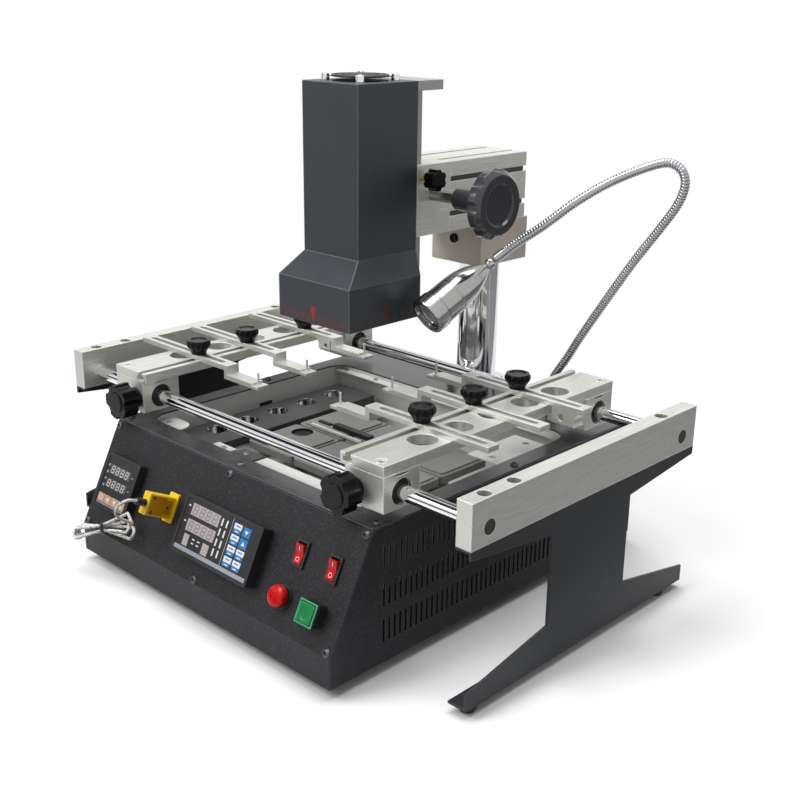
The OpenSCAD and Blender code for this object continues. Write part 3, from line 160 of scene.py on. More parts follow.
def rgb(code):
    """Linear colour from a hex code."""
    out = []
    for i in (0, 2, 4):
        c = int(code[i:i + 2], 16) / 255
        out.append(c / 12.92 if c <= 0.04045 else ((c + 0.055) / 1.055) ** 2.4)
    return (*out, 1.0)


def grey(level):
    """An even grey, from 0 for black to 1 for white."""
    return (level, level, level, 1)


def new_material(name):
    """An empty finish, with its node tree and its Principled shader."""
    mat = bpy.data.materials.new(name)
    mat.use_nodes = True
    return mat, mat.node_tree, mat.node_tree.nodes["Principled BSDF"]


def build_surface_group():
    """Rounded edges and fine grain, with masks for rubbed edges with painted highlight, blotches and the
    grain itself.
    """
    grain_rise, edge_gain, blotch_scale = 0.0003, 6.0, 14.0
    tree = bpy.data.node_groups.new("surface_detail", "ShaderNodeTree")
    for way, labels in (("INPUT", ("Vector", "Grain Scale", "Grain Depth", "Edge Radius")),
                        ("OUTPUT", ("Normal", "Edge", "Blotch", "Grain"))):
        for label in labels:
            kind = "Vector" if label in ("Vector", "Normal") else "Float"
            tree.interface.new_socket(label, in_out=way, socket_type="NodeSocket" + kind)
    given = tree.nodes.new("NodeGroupInput").outputs
    result = tree.nodes.new("NodeGroupOutput").inputs
    bevel = tree.nodes.new("ShaderNodeBevel")
    bevel.samples = 4
    tree.links.new(given["Edge Radius"], bevel.inputs["Radius"])
    grain = noise_node(tree, given["Vector"], given["Grain Scale"], 4.0, 0.6)
    blotch = noise_node(tree, given["Vector"], blotch_scale, 5.0, 0.6)
    bump = tree.nodes.new("ShaderNodeBump")
    bump.inputs["Distance"].default_value = grain_rise
    tree.links.new(given["Grain Depth"], bump.inputs["Strength"])
    tree.links.new(grain, bump.inputs["Height"])
    tree.links.new(bevel.outputs["Normal"], bump.inputs["Normal"])
    geometry = tree.nodes.new("ShaderNodeNewGeometry")
    dot = tree.nodes.new("ShaderNodeVectorMath")
    dot.operation = "DOT_PRODUCT"
    tree.links.new(geometry.outputs["Normal"], dot.inputs[0])
    tree.links.new(bevel.outputs["Normal"], dot.inputs[1])
    edge = math_node(tree, "MULTIPLY", math_node(tree, "SUBTRACT", 1.0, dot.outputs["Value"]), edge_gain)
    # The edge mask, broken up by the blotches: rubbed edges and painted highlight alike
    worn_highlight = math_node(tree, "MULTIPLY", math_node(tree, "MINIMUM", edge, 1.0), blotch)
    tree.links.new(bump.outputs["Normal"], result["Normal"])
    for label, value in (("Edge", worn_highlight), ("Blotch", blotch), ("Grain", grain)):
        tree.links.new(value, result[label])
    return tree


SURFACE = build_surface_group()


def material(name, colour, shade, worn_highlight, rough, grain, metal=0.0, edge=0.0006, stretch=(1, 1, 1), coat=0.0,
             wear_highlight_gain=0.6, spec=0.5, speckle=0.0):
    """A finish over the surface group: blotched colour, paler flecks, paler edges partly rubbed and partly
    painted highlight, varied roughness.
    """
    mat, tree, bsdf = new_material(name)
    coord = tree.nodes.new("ShaderNodeTexCoord")
    detail = tree.nodes.new("ShaderNodeGroup")
    detail.node_tree = SURFACE
    tree.links.new(mapping_node(tree, coord.outputs["Object"], stretch), detail.inputs["Vector"])
    for label, number in (("Grain Scale", grain[0]), ("Grain Depth", grain[1]), ("Edge Radius", edge)):
        detail.inputs[label].default_value = number
    blotch, bright = detail.outputs["Blotch"], rgb(worn_highlight)
    mixed = mix_colour(tree, blotch, rgb(shade), rgb(colour))
    if speckle:
        flecks = range_node(tree, detail.outputs["Grain"], 0.5, 0.68)
        mixed = mix_colour(tree, math_node(tree, "MULTIPLY", flecks, speckle), mixed, bright)
    # Edges paled partly as rubbed edges, partly as painted highlight
    edged = mix_colour(tree, math_node(tree, "MULTIPLY", detail.outputs["Edge"], wear_highlight_gain), mixed, bright)
    tree.links.new(edged, bsdf.inputs["Base Color"])
    tree.links.new(range_node(tree, blotch, 0.3, 0.7, rough), bsdf.inputs["Roughness"])
    tree.links.new(detail.outputs["Normal"], bsdf.inputs["Normal"])
    bsdf.inputs["Metallic"].default_value = metal
    bsdf.inputs["Specular IOR Level"].default_value = spec
    bsdf.inputs["Coat Weight"].default_value = coat
    return mat


# Paints of the cabinet, the head and the stands
POWDER = material("powder_coat", "27272b", "1d1d20", "84858a", rough=(0.42, 0.55), grain=(620, 0.9),
                  edge=0.0009, wear_highlight_gain=0.9, spec=0.25, speckle=0.1)
# A darker copy of the powder coat for the sloped panel: painted shade
SLOPE_SHADE_COAT = material("panel_coat_painted_shade", "201e21", "171518", "84858a", rough=(0.45, 0.58), grain=(620, 0.95),
                       edge=0.0009, wear_highlight_gain=0.9, spec=0.25, speckle=0.1)
DECK_PAINT = material("deck_coat", "2f2f32", "262629", "8c8d91", rough=(0.2, 0.3), grain=(620, 0.45),
                      edge=0.0009, wear_highlight_gain=0.9, spec=0.6, speckle=0.06)
# The head's pale fold edges are painted highlight, with some rubbing
HEAD_PAINT = material("head_coat", "30353b", "272b30", "d2d4d8", rough=(0.38, 0.48), grain=(620, 0.3),
                      edge=0.0014, wear_highlight_gain=0.75, spec=0.5)
DARK_PAINT = material("stand_coat", "26282d", "1f2125", "666972", rough=(0.34, 0.46), grain=(700, 0.15),
                      edge=0.0008, spec=0.4)
BAR_PAINT = material("bar_coat", "454545", "393939", "757575", rough=(0.35, 0.5), grain=(1000, 0.2))

# Metals: satin stretched along the table's beams or along its arms, then plain, turned and polished
LINER = material("liner_sheet", "e2e2de", "cfcfcb", "f8f8f5", rough=(0.3, 0.46), grain=(500, 0.08), metal=0.2)
# The white edges of both satin aluminiums are painted highlight, with some rubbing
SATIN = material("satin_aluminium", "d4d4cd", "c0c0b9", "ffffff", rough=(0.3, 0.44), grain=(900, 0.25),
                 metal=0.6, edge=0.0011, stretch=(1, 0.04, 1), wear_highlight_gain=1.6, spec=0.4, speckle=0.3)
SATIN_X = material("satin_aluminium_x", "d5d5cf", "c2c2bc", "ffffff", rough=(0.28, 0.42), grain=(900, 0.25),
                   metal=0.6, edge=0.0009, stretch=(0.04, 1, 1), wear_highlight_gain=1.6, spec=0.4, speckle=0.3)
CLAMP = material("clamp_aluminium", "cdc4b8", "b9b0a4", "f1ece6", rough=(0.34, 0.46), grain=(420, 0.16),
                 metal=0.5, edge=0.0008, stretch=(1, 1, 0.2), wear_highlight_gain=0.9, spec=0.35)
COLUMN = material("column_aluminium", "a5a6a2", "93948f", "dededa", rough=(0.32, 0.44), grain=(420, 0.2),
                  metal=0.6, edge=0.0007, stretch=(1, 1, 0.1), wear_highlight_gain=0.9, spec=0.4)
CHROME = material("rail_chrome", "e6e7e9", "d6d7da", "ffffff", rough=(0.04, 0.09), grain=(800, 0.015),
                  metal=1.0, edge=0.0003)
RAIL_END = material("rail_end", "453f3a", "38332f", "8d8781", rough=(0.35, 0.48), grain=(700, 0.1),
                    metal=0.5, edge=0.0008)
STEEL = material("turned_steel", "a9a9a8", "8f8f8f", "d0d0d0", rough=(0.22, 0.36), grain=(900, 0.08),
                 metal=1.0, edge=0.0003)
SCREW = material("black_screw", "5c5c5f", "48484b", "a5a5a8", rough=(0.3, 0.45), grain=(900, 0.1),
                 metal=0.6, edge=0.0003)
BRASS = material("brass_pin", "c9a24a", "b08b3a", "ecd48c", rough=(0.2, 0.32), grain=(700, 0.05),
                 metal=1.0, edge=0.0003)
LAMP_METAL = material("lamp_metal", "b3b3b2", "969695", "f0f0f1", rough=(0.14, 0.24), grain=(420, 0.05),
                      metal=1.0, edge=0.0005)
GOOSE = material("neck_chrome", "b9babd", "8f9094", "ffffff", rough=(0.12, 0.22), grain=(900, 0.02),
                 metal=1.0, edge=0.0002)

# Plastics, rubber, ceramic and glass
KNOB = material("knob_plastic", "0f0f11", "09090b", "3c3c42", rough=(0.16, 0.26), grain=(900, 0.06),
                edge=0.0013, spec=0.14)
WHEEL = material("handwheel_plastic", "434347", "37373b", "5a5a60", rough=(0.1, 0.18), grain=(400, 0.05),
                 edge=0.0014, coat=0.2, spec=0.4)
BLACK = material("black_plastic", "1c1c1f", "141416", "4b4b50", rough=(0.34, 0.48), grain=(1300, 0.15))
SLEEVE = material("black_sleeve", "17171a", "101012", "34343a", rough=(0.4, 0.55), grain=(900, 0.15),
                  edge=0.0004)
RED = material("red_plastic", "d20b0e", "b8060a", "e8433c", rough=(0.2, 0.3), grain=(600, 0.05),
               edge=0.0007, coat=0.1, spec=0.2)
GREEN = material("green_plastic", "128a48", "0c783c", "7cc79a", rough=(0.2, 0.3), grain=(600, 0.05),
                 edge=0.0012, coat=0.15, spec=0.4)
# The start rim's pale green is partly a painted highlight
GREEN_RIM_HIGHLIGHT = material("green_rim_highlight", "4fae7e", "40a06f", "b4dfc8", rough=(0.2, 0.3), grain=(600, 0.05),
                      edge=0.0003, coat=0.3)
YELLOW = material("yellow_plastic", "f4cc1c", "e6b912", "f8dc72", rough=(0.3, 0.42), grain=(700, 0.06),
                  edge=0.0007)
AMBER = material("amber_plastic", "c98a0e", "b87b0a", "dca83a", rough=(0.34, 0.45), grain=(700, 0.06),
                 edge=0.0004)
RUBBER = material("foot_rubber", "18181a", "101012", "303034", rough=(0.6, 0.75), grain=(1100, 0.3))
CERAMIC = material("heater_ceramic", "8d8c89", "787774", "b0b0ac", rough=(0.45, 0.6), grain=(350, 0.15),
                   edge=0.0012)
LENS = material("lamp_lens", "8f9296", "7a7d82", "b8bbc0", rough=(0.08, 0.14), grain=(260, 0.12), coat=0.6)

# Faces, keys and prints
FACE = material("controller_face", "26262a", "1e1e22", "3c3c42", rough=(0.28, 0.36), grain=(900, 0.06),
                edge=0.0003)
WINDOW = material("display_window", "b7aeae", "a59c9d", "c9c2c2", rough=(0.2, 0.28), grain=(800, 0.05),
                  edge=0.0002)
GREY_WINDOW = material("small_window", "5a5a5d", "4b4b4f", "77777a", rough=(0.22, 0.3), grain=(800, 0.05),
                       edge=0.0002)
SEGMENT = material("digit_segment", "8a8684", "7d7977", "9c9896", rough=(0.25, 0.34), grain=(900, 0.04),
                   edge=0.0001)
PALE_SEGMENT = material("pale_segment", "c8c4bf", "bab6b1", "d8d5d0", rough=(0.3, 0.4), grain=(900, 0.04),
                        edge=0.0001)
KEY_BEIGE = material("key_beige", "c39f83", "b18e73", "d8bca4", rough=(0.4, 0.5), grain=(700, 0.05),
                     edge=0.0002)
KEY_WHITE = material("key_white", "e6ebf0", "d8dee5", "f6f8fa", rough=(0.35, 0.45), grain=(700, 0.04),
                     edge=0.0003)
KEY_BLUE = material("key_blue", "2f7cc0", "2a6eab", "66a6dc", rough=(0.35, 0.45), grain=(700, 0.04),
                    edge=0.0003)
STRIP = material("silver_strip", "a4aab6", "949aa8", "c5c9d2", rough=(0.3, 0.4), grain=(700, 0.04),
                 metal=0.3, edge=0.0002)
PRINT = material("white_print", "dcdcdc", "cfcfcf", "efefef", rough=(0.5, 0.6), grain=(900, 0.05),
                 edge=0.0001)
RED_PRINT = material("red_print", "b01a1f", "98141a", "b03a3c", rough=(0.45, 0.55), grain=(1500, 0.2),
                     edge=0.0001)
RED_FAINT = material("red_print_faint", "5a1b20", "4b171b", "5c2528", rough=(0.45, 0.55), grain=(1500, 0.2),
                     edge=0.0001)
# Near black painted shade for holes, sockets and a slot
RECESS_SHADE = material("painted_recess_shade", "0c0c0d", "070708", "1a1a1c", rough=(0.5, 0.65), grain=(900, 0.1), edge=0.0002)


def braid_material():
    """Pale woven strands with dark flecks, laid along and around the cord by its UVs."""
    lay_angle, lay_scale, fleck_scale = 0.75, (6.0, 5.0, 1.0), (4.0, 1.1, 1.0)
    mat, tree, bsdf = new_material("braid")
    uv = tree.nodes.new("ShaderNodeTexCoord").outputs["UV"]
    strands = []
    for sign in (1, -1):
        wave = tree.nodes.new("ShaderNodeTexWave")
        wave.inputs["Scale"].default_value = 0.9
        wave.inputs["Distortion"].default_value = 0.6
        tree.links.new(mapping_node(tree, uv, lay_scale, sign * lay_angle), wave.inputs["Vector"])
        strands.append(wave.outputs["Fac"])
    height = math_node(tree, "MAXIMUM", *strands)
    specks = noise_node(tree, mapping_node(tree, uv, fleck_scale), 1.6, 2.0, 0.7)
    flecks = math_node(tree, "MULTIPLY", range_node(tree, specks, 0.53, 0.6), 0.85)
    pale = mix_colour(tree, height, rgb("cfccc4"), rgb("f3f1ec"))
    tree.links.new(mix_colour(tree, flecks, pale, rgb("3d3b38")), bsdf.inputs["Base Color"])
    bump = tree.nodes.new("ShaderNodeBump")
    bump.inputs["Distance"].default_value = 0.0004
    bump.inputs["Strength"].default_value = 0.6
    tree.links.new(height, bump.inputs["Height"])
    tree.links.new(bump.outputs["Normal"], bsdf.inputs["Normal"])
    bsdf.inputs["Roughness"].default_value = 0.75
    return mat


# Finishes of the CAD nodes
looks = {
    POWDER: "base_pan left_side_panel right_side_panel front_panel", DECK_PAINT: "top_deck",
    HEAD_PAINT: "head_housing", DARK_PAINT: "left_stand right_stand lamp_base",
    SCREW: "cover_screws", RUBBER: "rubber_feet", LINER: "bay_liner heater_rails",
    CERAMIC: "lower_heaters upper_heater", BAR_PAINT: "board_support_bar",
    BLACK: "lower_controller upper_controller panel_fittings power_inlet fan_frame fan_rotor",
    SATIN: "left_beam right_beam left_carriage right_carriage left_bearings right_bearings "
           "arm_beam slide_block",
    COLUMN: "head_column", SATIN_X: " ".join(f"{s}_arm_{k}" for s in SIDES for k in ROWS),
    CLAMP: "arm_clamp", CHROME: "guide_rails post", STEEL: "pinion_shaft",
    KNOB: "head_lock_knob left_lock_knob right_lock_knob "
          + " ".join(f"{s}_knob_{k}" for s in SIDES for k in ROWS),
    WHEEL: "handwheel", RED: "lighting_rocker fan_rocker stop_button", GREEN: "start_button",
    YELLOW: "sensor_plug", GOOSE: "gooseneck", LAMP_METAL: "lamp_head", KEY_WHITE: "sensor_lead sensor_hank",
}
for look, names in looks.items():
    for name in names.split():
        nodes[name].data.materials.clear()
        nodes[name].data.materials.append(look)


def paint_faces(node, look, test):
    """Gives the CAD faces whose centre, in millimetres, and normal pass the test another finish."""
    mesh = nodes[node].data
    mesh.materials.append(look)
    index = len(mesh.materials) - 1
    for face in mesh.polygons:
        if test(face.center / MM, face.normal):
            face.material_index = index


# Small pieces
def new_object(name, data):
    """An object placed in the scene."""
    obj = bpy.data.objects.new(name, data)
    bpy.context.scene.collection.objects.link(obj)
    return obj


def add_mesh(name, verts, faces, look, body, smooth=False):
    """One mesh piece in metres, riding on a body of the CAD."""
    mesh = bpy.data.meshes.new(name)
    mesh.from_pydata([tuple(v) for v in verts], [], faces)
    bm = bmesh.new()
    bm.from_mesh(mesh)
    bmesh.ops.recalc_face_normals(bm, faces=bm.faces)
    bm.to_mesh(mesh)
    bm.free()
    obj = new_object(name, mesh)
    mesh.materials.append(look)
    for face in mesh.polygons:
        face.use_smooth = smooth
    if smooth:
        mesh.set_sharp_from_angle(angle=math.radians(38))
    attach(obj, body)
    return obj


class Pieces:
    """Collects small solids of one finish into one mesh; every measure is in millimetres."""

    def __init__(self, name, look, body, slot=None, smooth=False):
        self.name, self.look, self.body, self.slot, self.smooth = name, look, body, slot, smooth
        self.verts, self.faces = [], []

    def prism(self, matrix, outline, low, high, inset=0.0):
        """A polygon extruded along the frame's Z, its top drawn in by the inset."""
        base = len(self.verts)
        count = len(outline)
        cx = sum(p[0] for p in outline) / count
        cy = sum(p[1] for p in outline) / count
        for z, shrink in ((low, 0.0), (high, inset)):
            for x, y in outline:
                d = math.hypot(x - cx, y - cy) or 1.0
                k = 1 - shrink / d
                self.verts.append(matrix @ (Vector((cx + (x - cx) * k, cy + (y - cy) * k, z)) * MM))
        self.faces.append(list(range(base + count, base + 2 * count)))
        self.faces.append(list(range(base + count - 1, base - 1, -1)))
        for i in range(count):
            j = (i + 1) % count
            self.faces.append([base + i, base + j, base + count + j, base + count + i])

    def rect(self, matrix, x0, x1, y0, y1, low, high, inset=0.0):
        self.prism(matrix, [(x0, y0), (x1, y0), (x1, y1), (x0, y1)], low, high, inset)

    def disc(self, matrix, x, y, radius, low, high, inset, sides):
        turn = 2 * math.pi / sides
        outline = [(x + radius * math.cos(i * turn), y + radius * math.sin(i * turn)) for i in range(sides)]
        self.prism(matrix, outline, low, high, inset)

    def ring(self, matrix, x, y, outer, inner, low, high, sides):
        """A flat ring of short bars between two ellipses, each given by its two half widths."""
        turn = 2 * math.pi / sides
        for i in range(sides):
            corners = ((outer, i), (outer, i + 1), (inner, i + 1), (inner, i))
            bar = [(x + rx * math.cos(k * turn), y + ry * math.sin(k * turn)) for (rx, ry), k in corners]
            self.prism(matrix, bar, low, high)

    def lathe(self, matrix, profile, sides=48):
        """A turned shape: radius and height pairs about the frame's Z."""
        base = len(self.verts)
        for r, z in profile:
            for i in range(sides):
                a = 2 * math.pi * i / sides
                self.verts.append(matrix @ (Vector((r * math.cos(a), r * math.sin(a), z)) * MM))
        last = len(profile) - 1
        for k in range(last):
            for i in range(sides):
                j = (i + 1) % sides
                self.faces.append([base + k * sides + i, base + k * sides + j,
                                   base + (k + 1) * sides + j, base + (k + 1) * sides + i])
        self.faces.append([base + i for i in range(sides)][::-1])
        self.faces.append([base + last * sides + i for i in range(sides)])

    def build(self):
        return add_mesh(self.name, self.verts, self.faces, self.look, self.body, self.smooth)


def plates(name, look, matrix, edges, low, high, inset=0.0, slot=None):
    """One piece of the station made of flat plates, each given by its left, right, lower and upper edge."""
    piece = Pieces(name, look, "station", slot)
    for x0, x1, y0, y1 in edges:
        piece.rect(matrix, x0, x1, y0, y1, low, high, inset)
    piece.build()


# The two controllers: levels above the front of their cases, in millimetres
PLATE_LOW, PLATE_TOP = -0.1, 0.25
SUNK = 0.2
PRINT_TOP = 0.34
WINDOW_TOP = 0.4
RAISED_TOP = 0.42
KEY_TOP = 0.8
# The strokes of a figure-of-eight digit, as shares of its width and height
STROKES = ((0, 1, 1, 1), (1, 0.5, 1, 1), (1, 0, 1, 0.5), (0, 0, 1, 0), (0, 0, 0, 0.5), (0, 0.5, 0, 1),
           (0, 0.5, 1, 0.5))


def digits(pieces, matrix, x, y, width, height, pitch, level, thick):
    """A row of four unlit figure-of-eight digits, leaning a little, each stroke pointed at both ends."""
    lean, film = 0.12, 0.08
    gap = 0.55 * thick
    tip = 0.2 * gap
    for k in range(4):
        left = x + k * pitch
        for x0, y0, x1, y1 in STROKES:
            ax, ay = left + x0 * width + lean * y0 * height, y + y0 * height
            bx, by = left + x1 * width + lean * y1 * height, y + y1 * height
            length = math.hypot(bx - ax, by - ay)
            dx, dy = (bx - ax) / length, (by - ay) / length
            px, py, qx, qy = ax + dx * gap, ay + dy * gap, bx - dx * gap, by - dy * gap
            nx, ny = -dy * thick / 2, dx * thick / 2
            stroke = [(px + nx, py + ny), (ax + dx * tip, ay + dy * tip), (px - nx, py - ny),
                      (qx - nx, qy - ny), (bx - dx * tip, by - dy * tip), (qx + nx, qy + ny)]
            pieces.prism(matrix, stroke, level, level + film)


def lower_controller_face():
    """Face plate, windows, digits, lamps and keys of the small square controller."""
    m = panel_matrix(-125, 45.5, 7.2)
    half = 21.3
    plates("lower_face", FACE, m, [(-half, half, -half, half)], PLATE_LOW, PLATE_TOP, slot="black_plastic")
    windows = [(-15.4, 14.6, 6.6, 14.6), (-15.4, 14.6, -5.4, 2.2)]
    plates("lower_windows", GREY_WINDOW, m, windows, SUNK, WINDOW_TOP, slot="black_plastic")
    segments = Pieces("lower_digits", PALE_SEGMENT, "station")
    for y, height in ((7.6, 5.9), (-4.5, 5.7)):
        digits(segments, m, -13.6, y, width=3.9, height=height, pitch=6.9, level=0.38, thick=0.85)
    segments.build()
    lamps = Pieces("lower_lamps", STRIP, "station")
    for y in (13.2, 7.0, 0.9, -4.9):
        lamps.disc(m, -18.3, y, radius=1.25, low=SUNK, high=0.5, inset=0.3, sides=20)
    for y in (10.5, -1.6):
        lamps.rect(m, 16.6, 18.8, y - 0.5, y + 0.5, SUNK, WINDOW_TOP)
    lamps.rect(m, -20, 20, -21.2, -20.1, SUNK, RAISED_TOP)
    lamps.build()
    key_pitch, key_gap, key_top = 10, 0.15, 0.75
    lefts = [-20 + key_pitch * i for i in range(4)]
    keys = [(x + key_gap, x + key_pitch - key_gap, -19.6, -12.0) for x in lefts]
    plates("lower_keys", KEY_BEIGE, m, keys, SUNK, key_top, 0.25)
    marks = Pieces("lower_key_marks", PRINT, "station")
    mark_low, mark_top = 0.74, 0.82
    marks.ring(m, -15, -15.8, (2, 2), (1.4, 1.4), mark_low, mark_top, 20)
    for arrow in ([(-7, -15.8), (-3.4, -13.9), (-3.4, -17.7)], [(5, -17.8), (7, -14.2), (3, -14.2)],
                  [(15, -13.8), (13, -17.4), (17, -17.4)]):
        marks.prism(m, arrow, mark_low, mark_top)
    marks.build()


def upper_controller_face():
    """Face plate, windows, digits, printed marks, keys and silver strip of the wide controller."""
    m = panel_matrix(20, 43.5, 10.2)
    plates("upper_face", FACE, m, [(-45.3, 45.3, -21.3, 21.3)], PLATE_LOW, PLATE_TOP, slot="black_plastic")
    windows = [(-37.5, -2.2, 8.4, 18.2), (-38.0, -2.2, -4.6, 5.0), (-36.8, -30.2, -16.6, -7.2),
               (-12.2, -4.2, -16.8, -7.8)]
    plates("upper_windows", WINDOW, m, windows, SUNK, RAISED_TOP)
    segments = Pieces("upper_digits", SEGMENT, "station")
    for x, y, height in ((-35.2, 9.8, 7.0), (-35.6, -3.2, 6.8)):
        digits(segments, m, x, y, width=4.6, height=height, pitch=8.3, level=0.4, thick=1.0)
    segments.build()
    marks = Pieces("upper_marks", PRINT, "station")
    for x in (1.4, 7.2):
        for y in (14.0, 5.8, -2.6, -10.8):
            marks.rect(m, x - 0.9, x + 0.9, y - 3.0, y + 3.0, SUNK, 0.36)
    for x, y in ((-24.5, -9.2), (-24.5, -12.4), (-18, -9.2), (-18, -12.4)):
        marks.rect(m, x - 1.6, x + 1.6, y - 0.5, y + 0.5, SUNK, PRINT_TOP)
    marks.rect(m, 12.8, 13.1, -17.2, 21.2, SUNK, PRINT_TOP)
    for y in (14.5, 1.5):
        marks.rect(m, -42.6, -40.2, y, y + 1.2, SUNK, PRINT_TOP)
    marks.build()
    upper_controller_keys(m)
    plates("upper_strip", STRIP, m, [(-45.2, 45.2, -21.2, -17.8)], SUNK, WINDOW_TOP)


def upper_controller_keys(m):
    """Two columns of four keys: two blue arrow keys, the others white above and blue below."""
    half_x, half_y, split, mark_low, bar_top = 4.7, 3.9, 0.6, 0.79, 0.86
    white = Pieces("upper_white_keys", KEY_WHITE, "station")
    blue = Pieces("upper_blue_keys", KEY_BLUE, "station")
    for row, y in enumerate((14.6, 5.6, -3.4, -12.4)):
        for column, x in enumerate((20.6, 31.6)):
            x0, x1 = x - half_x, x + half_x
            if column == 1 and row < 2:
                blue.rect(m, x0, x1, y - half_y, y + half_y, SUNK, KEY_TOP, 0.3)
                up = 1 if row else -1
                arrow = [(x - 2.2, y - 1.4 * up), (x + 2.2, y - 1.4 * up), (x, y + 1.8 * up)]
                white.prism(m, arrow, mark_low, 0.88)
            else:
                white.rect(m, x0, x1, y - split, y + half_y, SUNK, KEY_TOP, 0.2)
                blue.rect(m, x0, x1, y - half_y, y - split, SUNK, KEY_TOP, 0.2)
                white.rect(m, x - 2.2, x + 2.2, y - 2.9, y - 2.0, mark_low, bar_top)
                blue.rect(m, x - 2.6, x + 2.6, y + 1.5, y + 2.4, mark_low, bar_top)
    white.build()
    blue.build()


def rocker_marks(u, body):
    """The circle and bar moulded into a rocker's two faces."""
    ridge, half_length, film = 1.7, 7.7, 0.08
    rise = math.atan2(ridge, half_length)
    tilt = Matrix.Rotation(math.radians(9), 4, "X")
    top = panel_matrix(u, 60.5, 0.5) @ tilt @ Matrix.Translation((0, 0, ridge * MM))
    marks = Pieces(body + "_marks", PRINT, body)
    marks.ring(top @ Matrix.Rotation(-rise, 4, "X"), 0, -4.3, (1.9, 1.9), (1.35, 1.35), 0.0, film, 24)
    marks.rect(top @ Matrix.Rotation(rise, 4, "X"), -0.3, 0.3, 2.2, 6.0, 0.0, film)
    marks.build()


def start_rim():
    """The square rim on the start button's housing, pale in part as a painted highlight."""
    m = panel_matrix(136, 25, 0)
    out, inn = 9.05, 7.9
    bars = [(-out, out, inn, out), (-out, out, -out, -inn), (-out, -inn, -inn, inn), (inn, out, -inn, inn)]
    plates("start_rim", GREEN_RIM_HIGHLIGHT, m, bars, 10.2, 11.15)


def head_scale():
    """Red tick scales with their pointers low on the head's front and right faces, fainter on the right."""
    pitch, foot, half_tick, sunk, film = 3.0, 2.0, 0.2, -0.05, 0.06
    middle = (SKIRT_Y0 + HEAD_Y1 - 5) / 2
    for name, look, m in (("head_scale_front", RED_PRINT, facing_front(0, SKIRT_Y0, HEAD_BOTTOM)),
                          ("head_scale_side", RED_FAINT, facing_right(SKIRT_X1, middle, HEAD_BOTTOM))):
        scale = Pieces(name, look, "head")
        for i in range(-12, 13):
            if i:
                tall = 8.0 if i % 4 == 0 else 5.2
                scale.rect(m, i * pitch - half_tick, i * pitch + half_tick, foot, foot + tall, sunk, film)
        scale.prism(m, [(-3.2, 15.0), (-0.6, foot), (0.6, foot), (3.2, 15.0)], sunk, film)
        scale.build()


# Tubes along a path
def smooth_curve(points, steps):
    """The CAD source's curve through the points."""
    p = [Vector(q) for q in points]
    n = len(p) - 1
    out = []
    for i in range(n):
        a, b, c, d = p[max(i - 1, 0)], p[i], p[i + 1], p[min(i + 2, n)]
        square, cube = 2 * a - 5 * b + 4 * c - d, 3 * b - a - 3 * c + d
        for k in range(steps):
            t = k / steps
            out.append(0.5 * (2 * b + (c - a) * t + square * t * t + cube * t ** 3))
    return out + [p[n]]


def resample(path, step):
    """Points an even step apart along a path, ending on its last point."""
    out = [path[0]]
    need = step
    for a, b in zip(path, path[1:]):
        length = (b - a).length
        at = need
        while at <= length:
            out.append(a.lerp(b, at / length))
            at += step
        need = at - length
    if (out[-1] - path[-1]).length > 0.3 * step:
        out.append(path[-1])
    else:
        out[-1] = path[-1]
    return out


def sweep(name, path, radii, sides, look, body):
    """A tube along a path in metres, with a radius for each ring and UVs around and along it."""
    uv_length = 0.01
    count = len(path)
    tangents = [(path[min(i + 1, count - 1)] - path[max(i - 1, 0)]).normalized() for i in range(count)]
    side = Vector((1, 0, 0)) if abs(tangents[0].x) < 0.8 else Vector((0, 1, 0))
    verts, faces = [], []
    run = [0.0]
    for i in range(count):
        side = (side - tangents[i] * side.dot(tangents[i])).normalized()
        up = tangents[i].cross(side)
        for k in range(sides):
            a = 2 * math.pi * k / sides
            verts.append(path[i] + radii[i] * (math.cos(a) * side + math.sin(a) * up))
        if i:
            run.append(run[-1] + (path[i] - path[i - 1]).length)
    for i in range(count - 1):
        for k in range(sides):
            m = (k + 1) % sides
            faces.append([i * sides + k, i * sides + m, (i + 1) * sides + m, (i + 1) * sides + k])
    faces.append(list(range(sides))[::-1])
    faces.append([(count - 1) * sides + k for k in range(sides)])
    obj = add_mesh(name, verts, faces, look, body, True)
    layer = obj.data.uv_layers.new(name="along")
    for face in obj.data.polygons:
        ring = [obj.data.loops[i].vertex_index for i in face.loop_indices]
        wraps = len(ring) == 4 and max(v % sides for v in ring) - min(v % sides for v in ring) > 1
        for loop, v in zip(face.loop_indices, ring):
            k = v % sides
            if wraps and k == 0:
                k = sides
            layer.data[loop].uv = (k / sides, run[v // sides] / uv_length)
    return obj


# The lamp and its neck, the points counted from the lamp's foot
NECK_POINTS = [(0, 0, 18.3), (0, 0, 20.5), (0, 0, 23), (4, 0, 30), (13, 2, 45), (26, 3, 68), (48, 6, 105),
               (71, 10, 143), (92, 13, 174), (106, 15, 196), (112, 15, 212), (111, 14, 223), (105, 11, 230),
               (97, 5, 232), (85, -10, 227), (68, -31, 216), (50, -51, 200), (30, -69, 179), (11, -80, 163),
               (1, -87, 153), (-2.8, -90.3, 148.8)]


def gooseneck():
    """The lamp's neck as a close spiral of round wire."""
    pitch, per_turn = 0.0026, 6
    core, bulge = 3.62, 0.42
    path = [(LAMP_FOOT + p) * MM for p in smooth_curve(NECK_POINTS, 12)]
    path = resample(path, pitch / per_turn)
    radii = [MM * (core + bulge * abs(math.sin(math.pi * i / per_turn)) ** 0.7) for i in range(len(path))]
    neck = sweep("gooseneck_spiral", path, radii, 20, GOOSE, "lamp_neck")
    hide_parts("gooseneck")


def lamp_lens():
    """The domed glass in the lamp's mouth."""
    lens = Pieces("lamp_lens", LENS, "lamp", "chrome", True)
    lens.lathe(along_axis(LAMP_PIVOT, LAMP_DIR),
               [(12.6, 69.9), (12.4, 71.4), (10, 72.4), (6, 73.0), (1, 73.2)])
    lens.build()


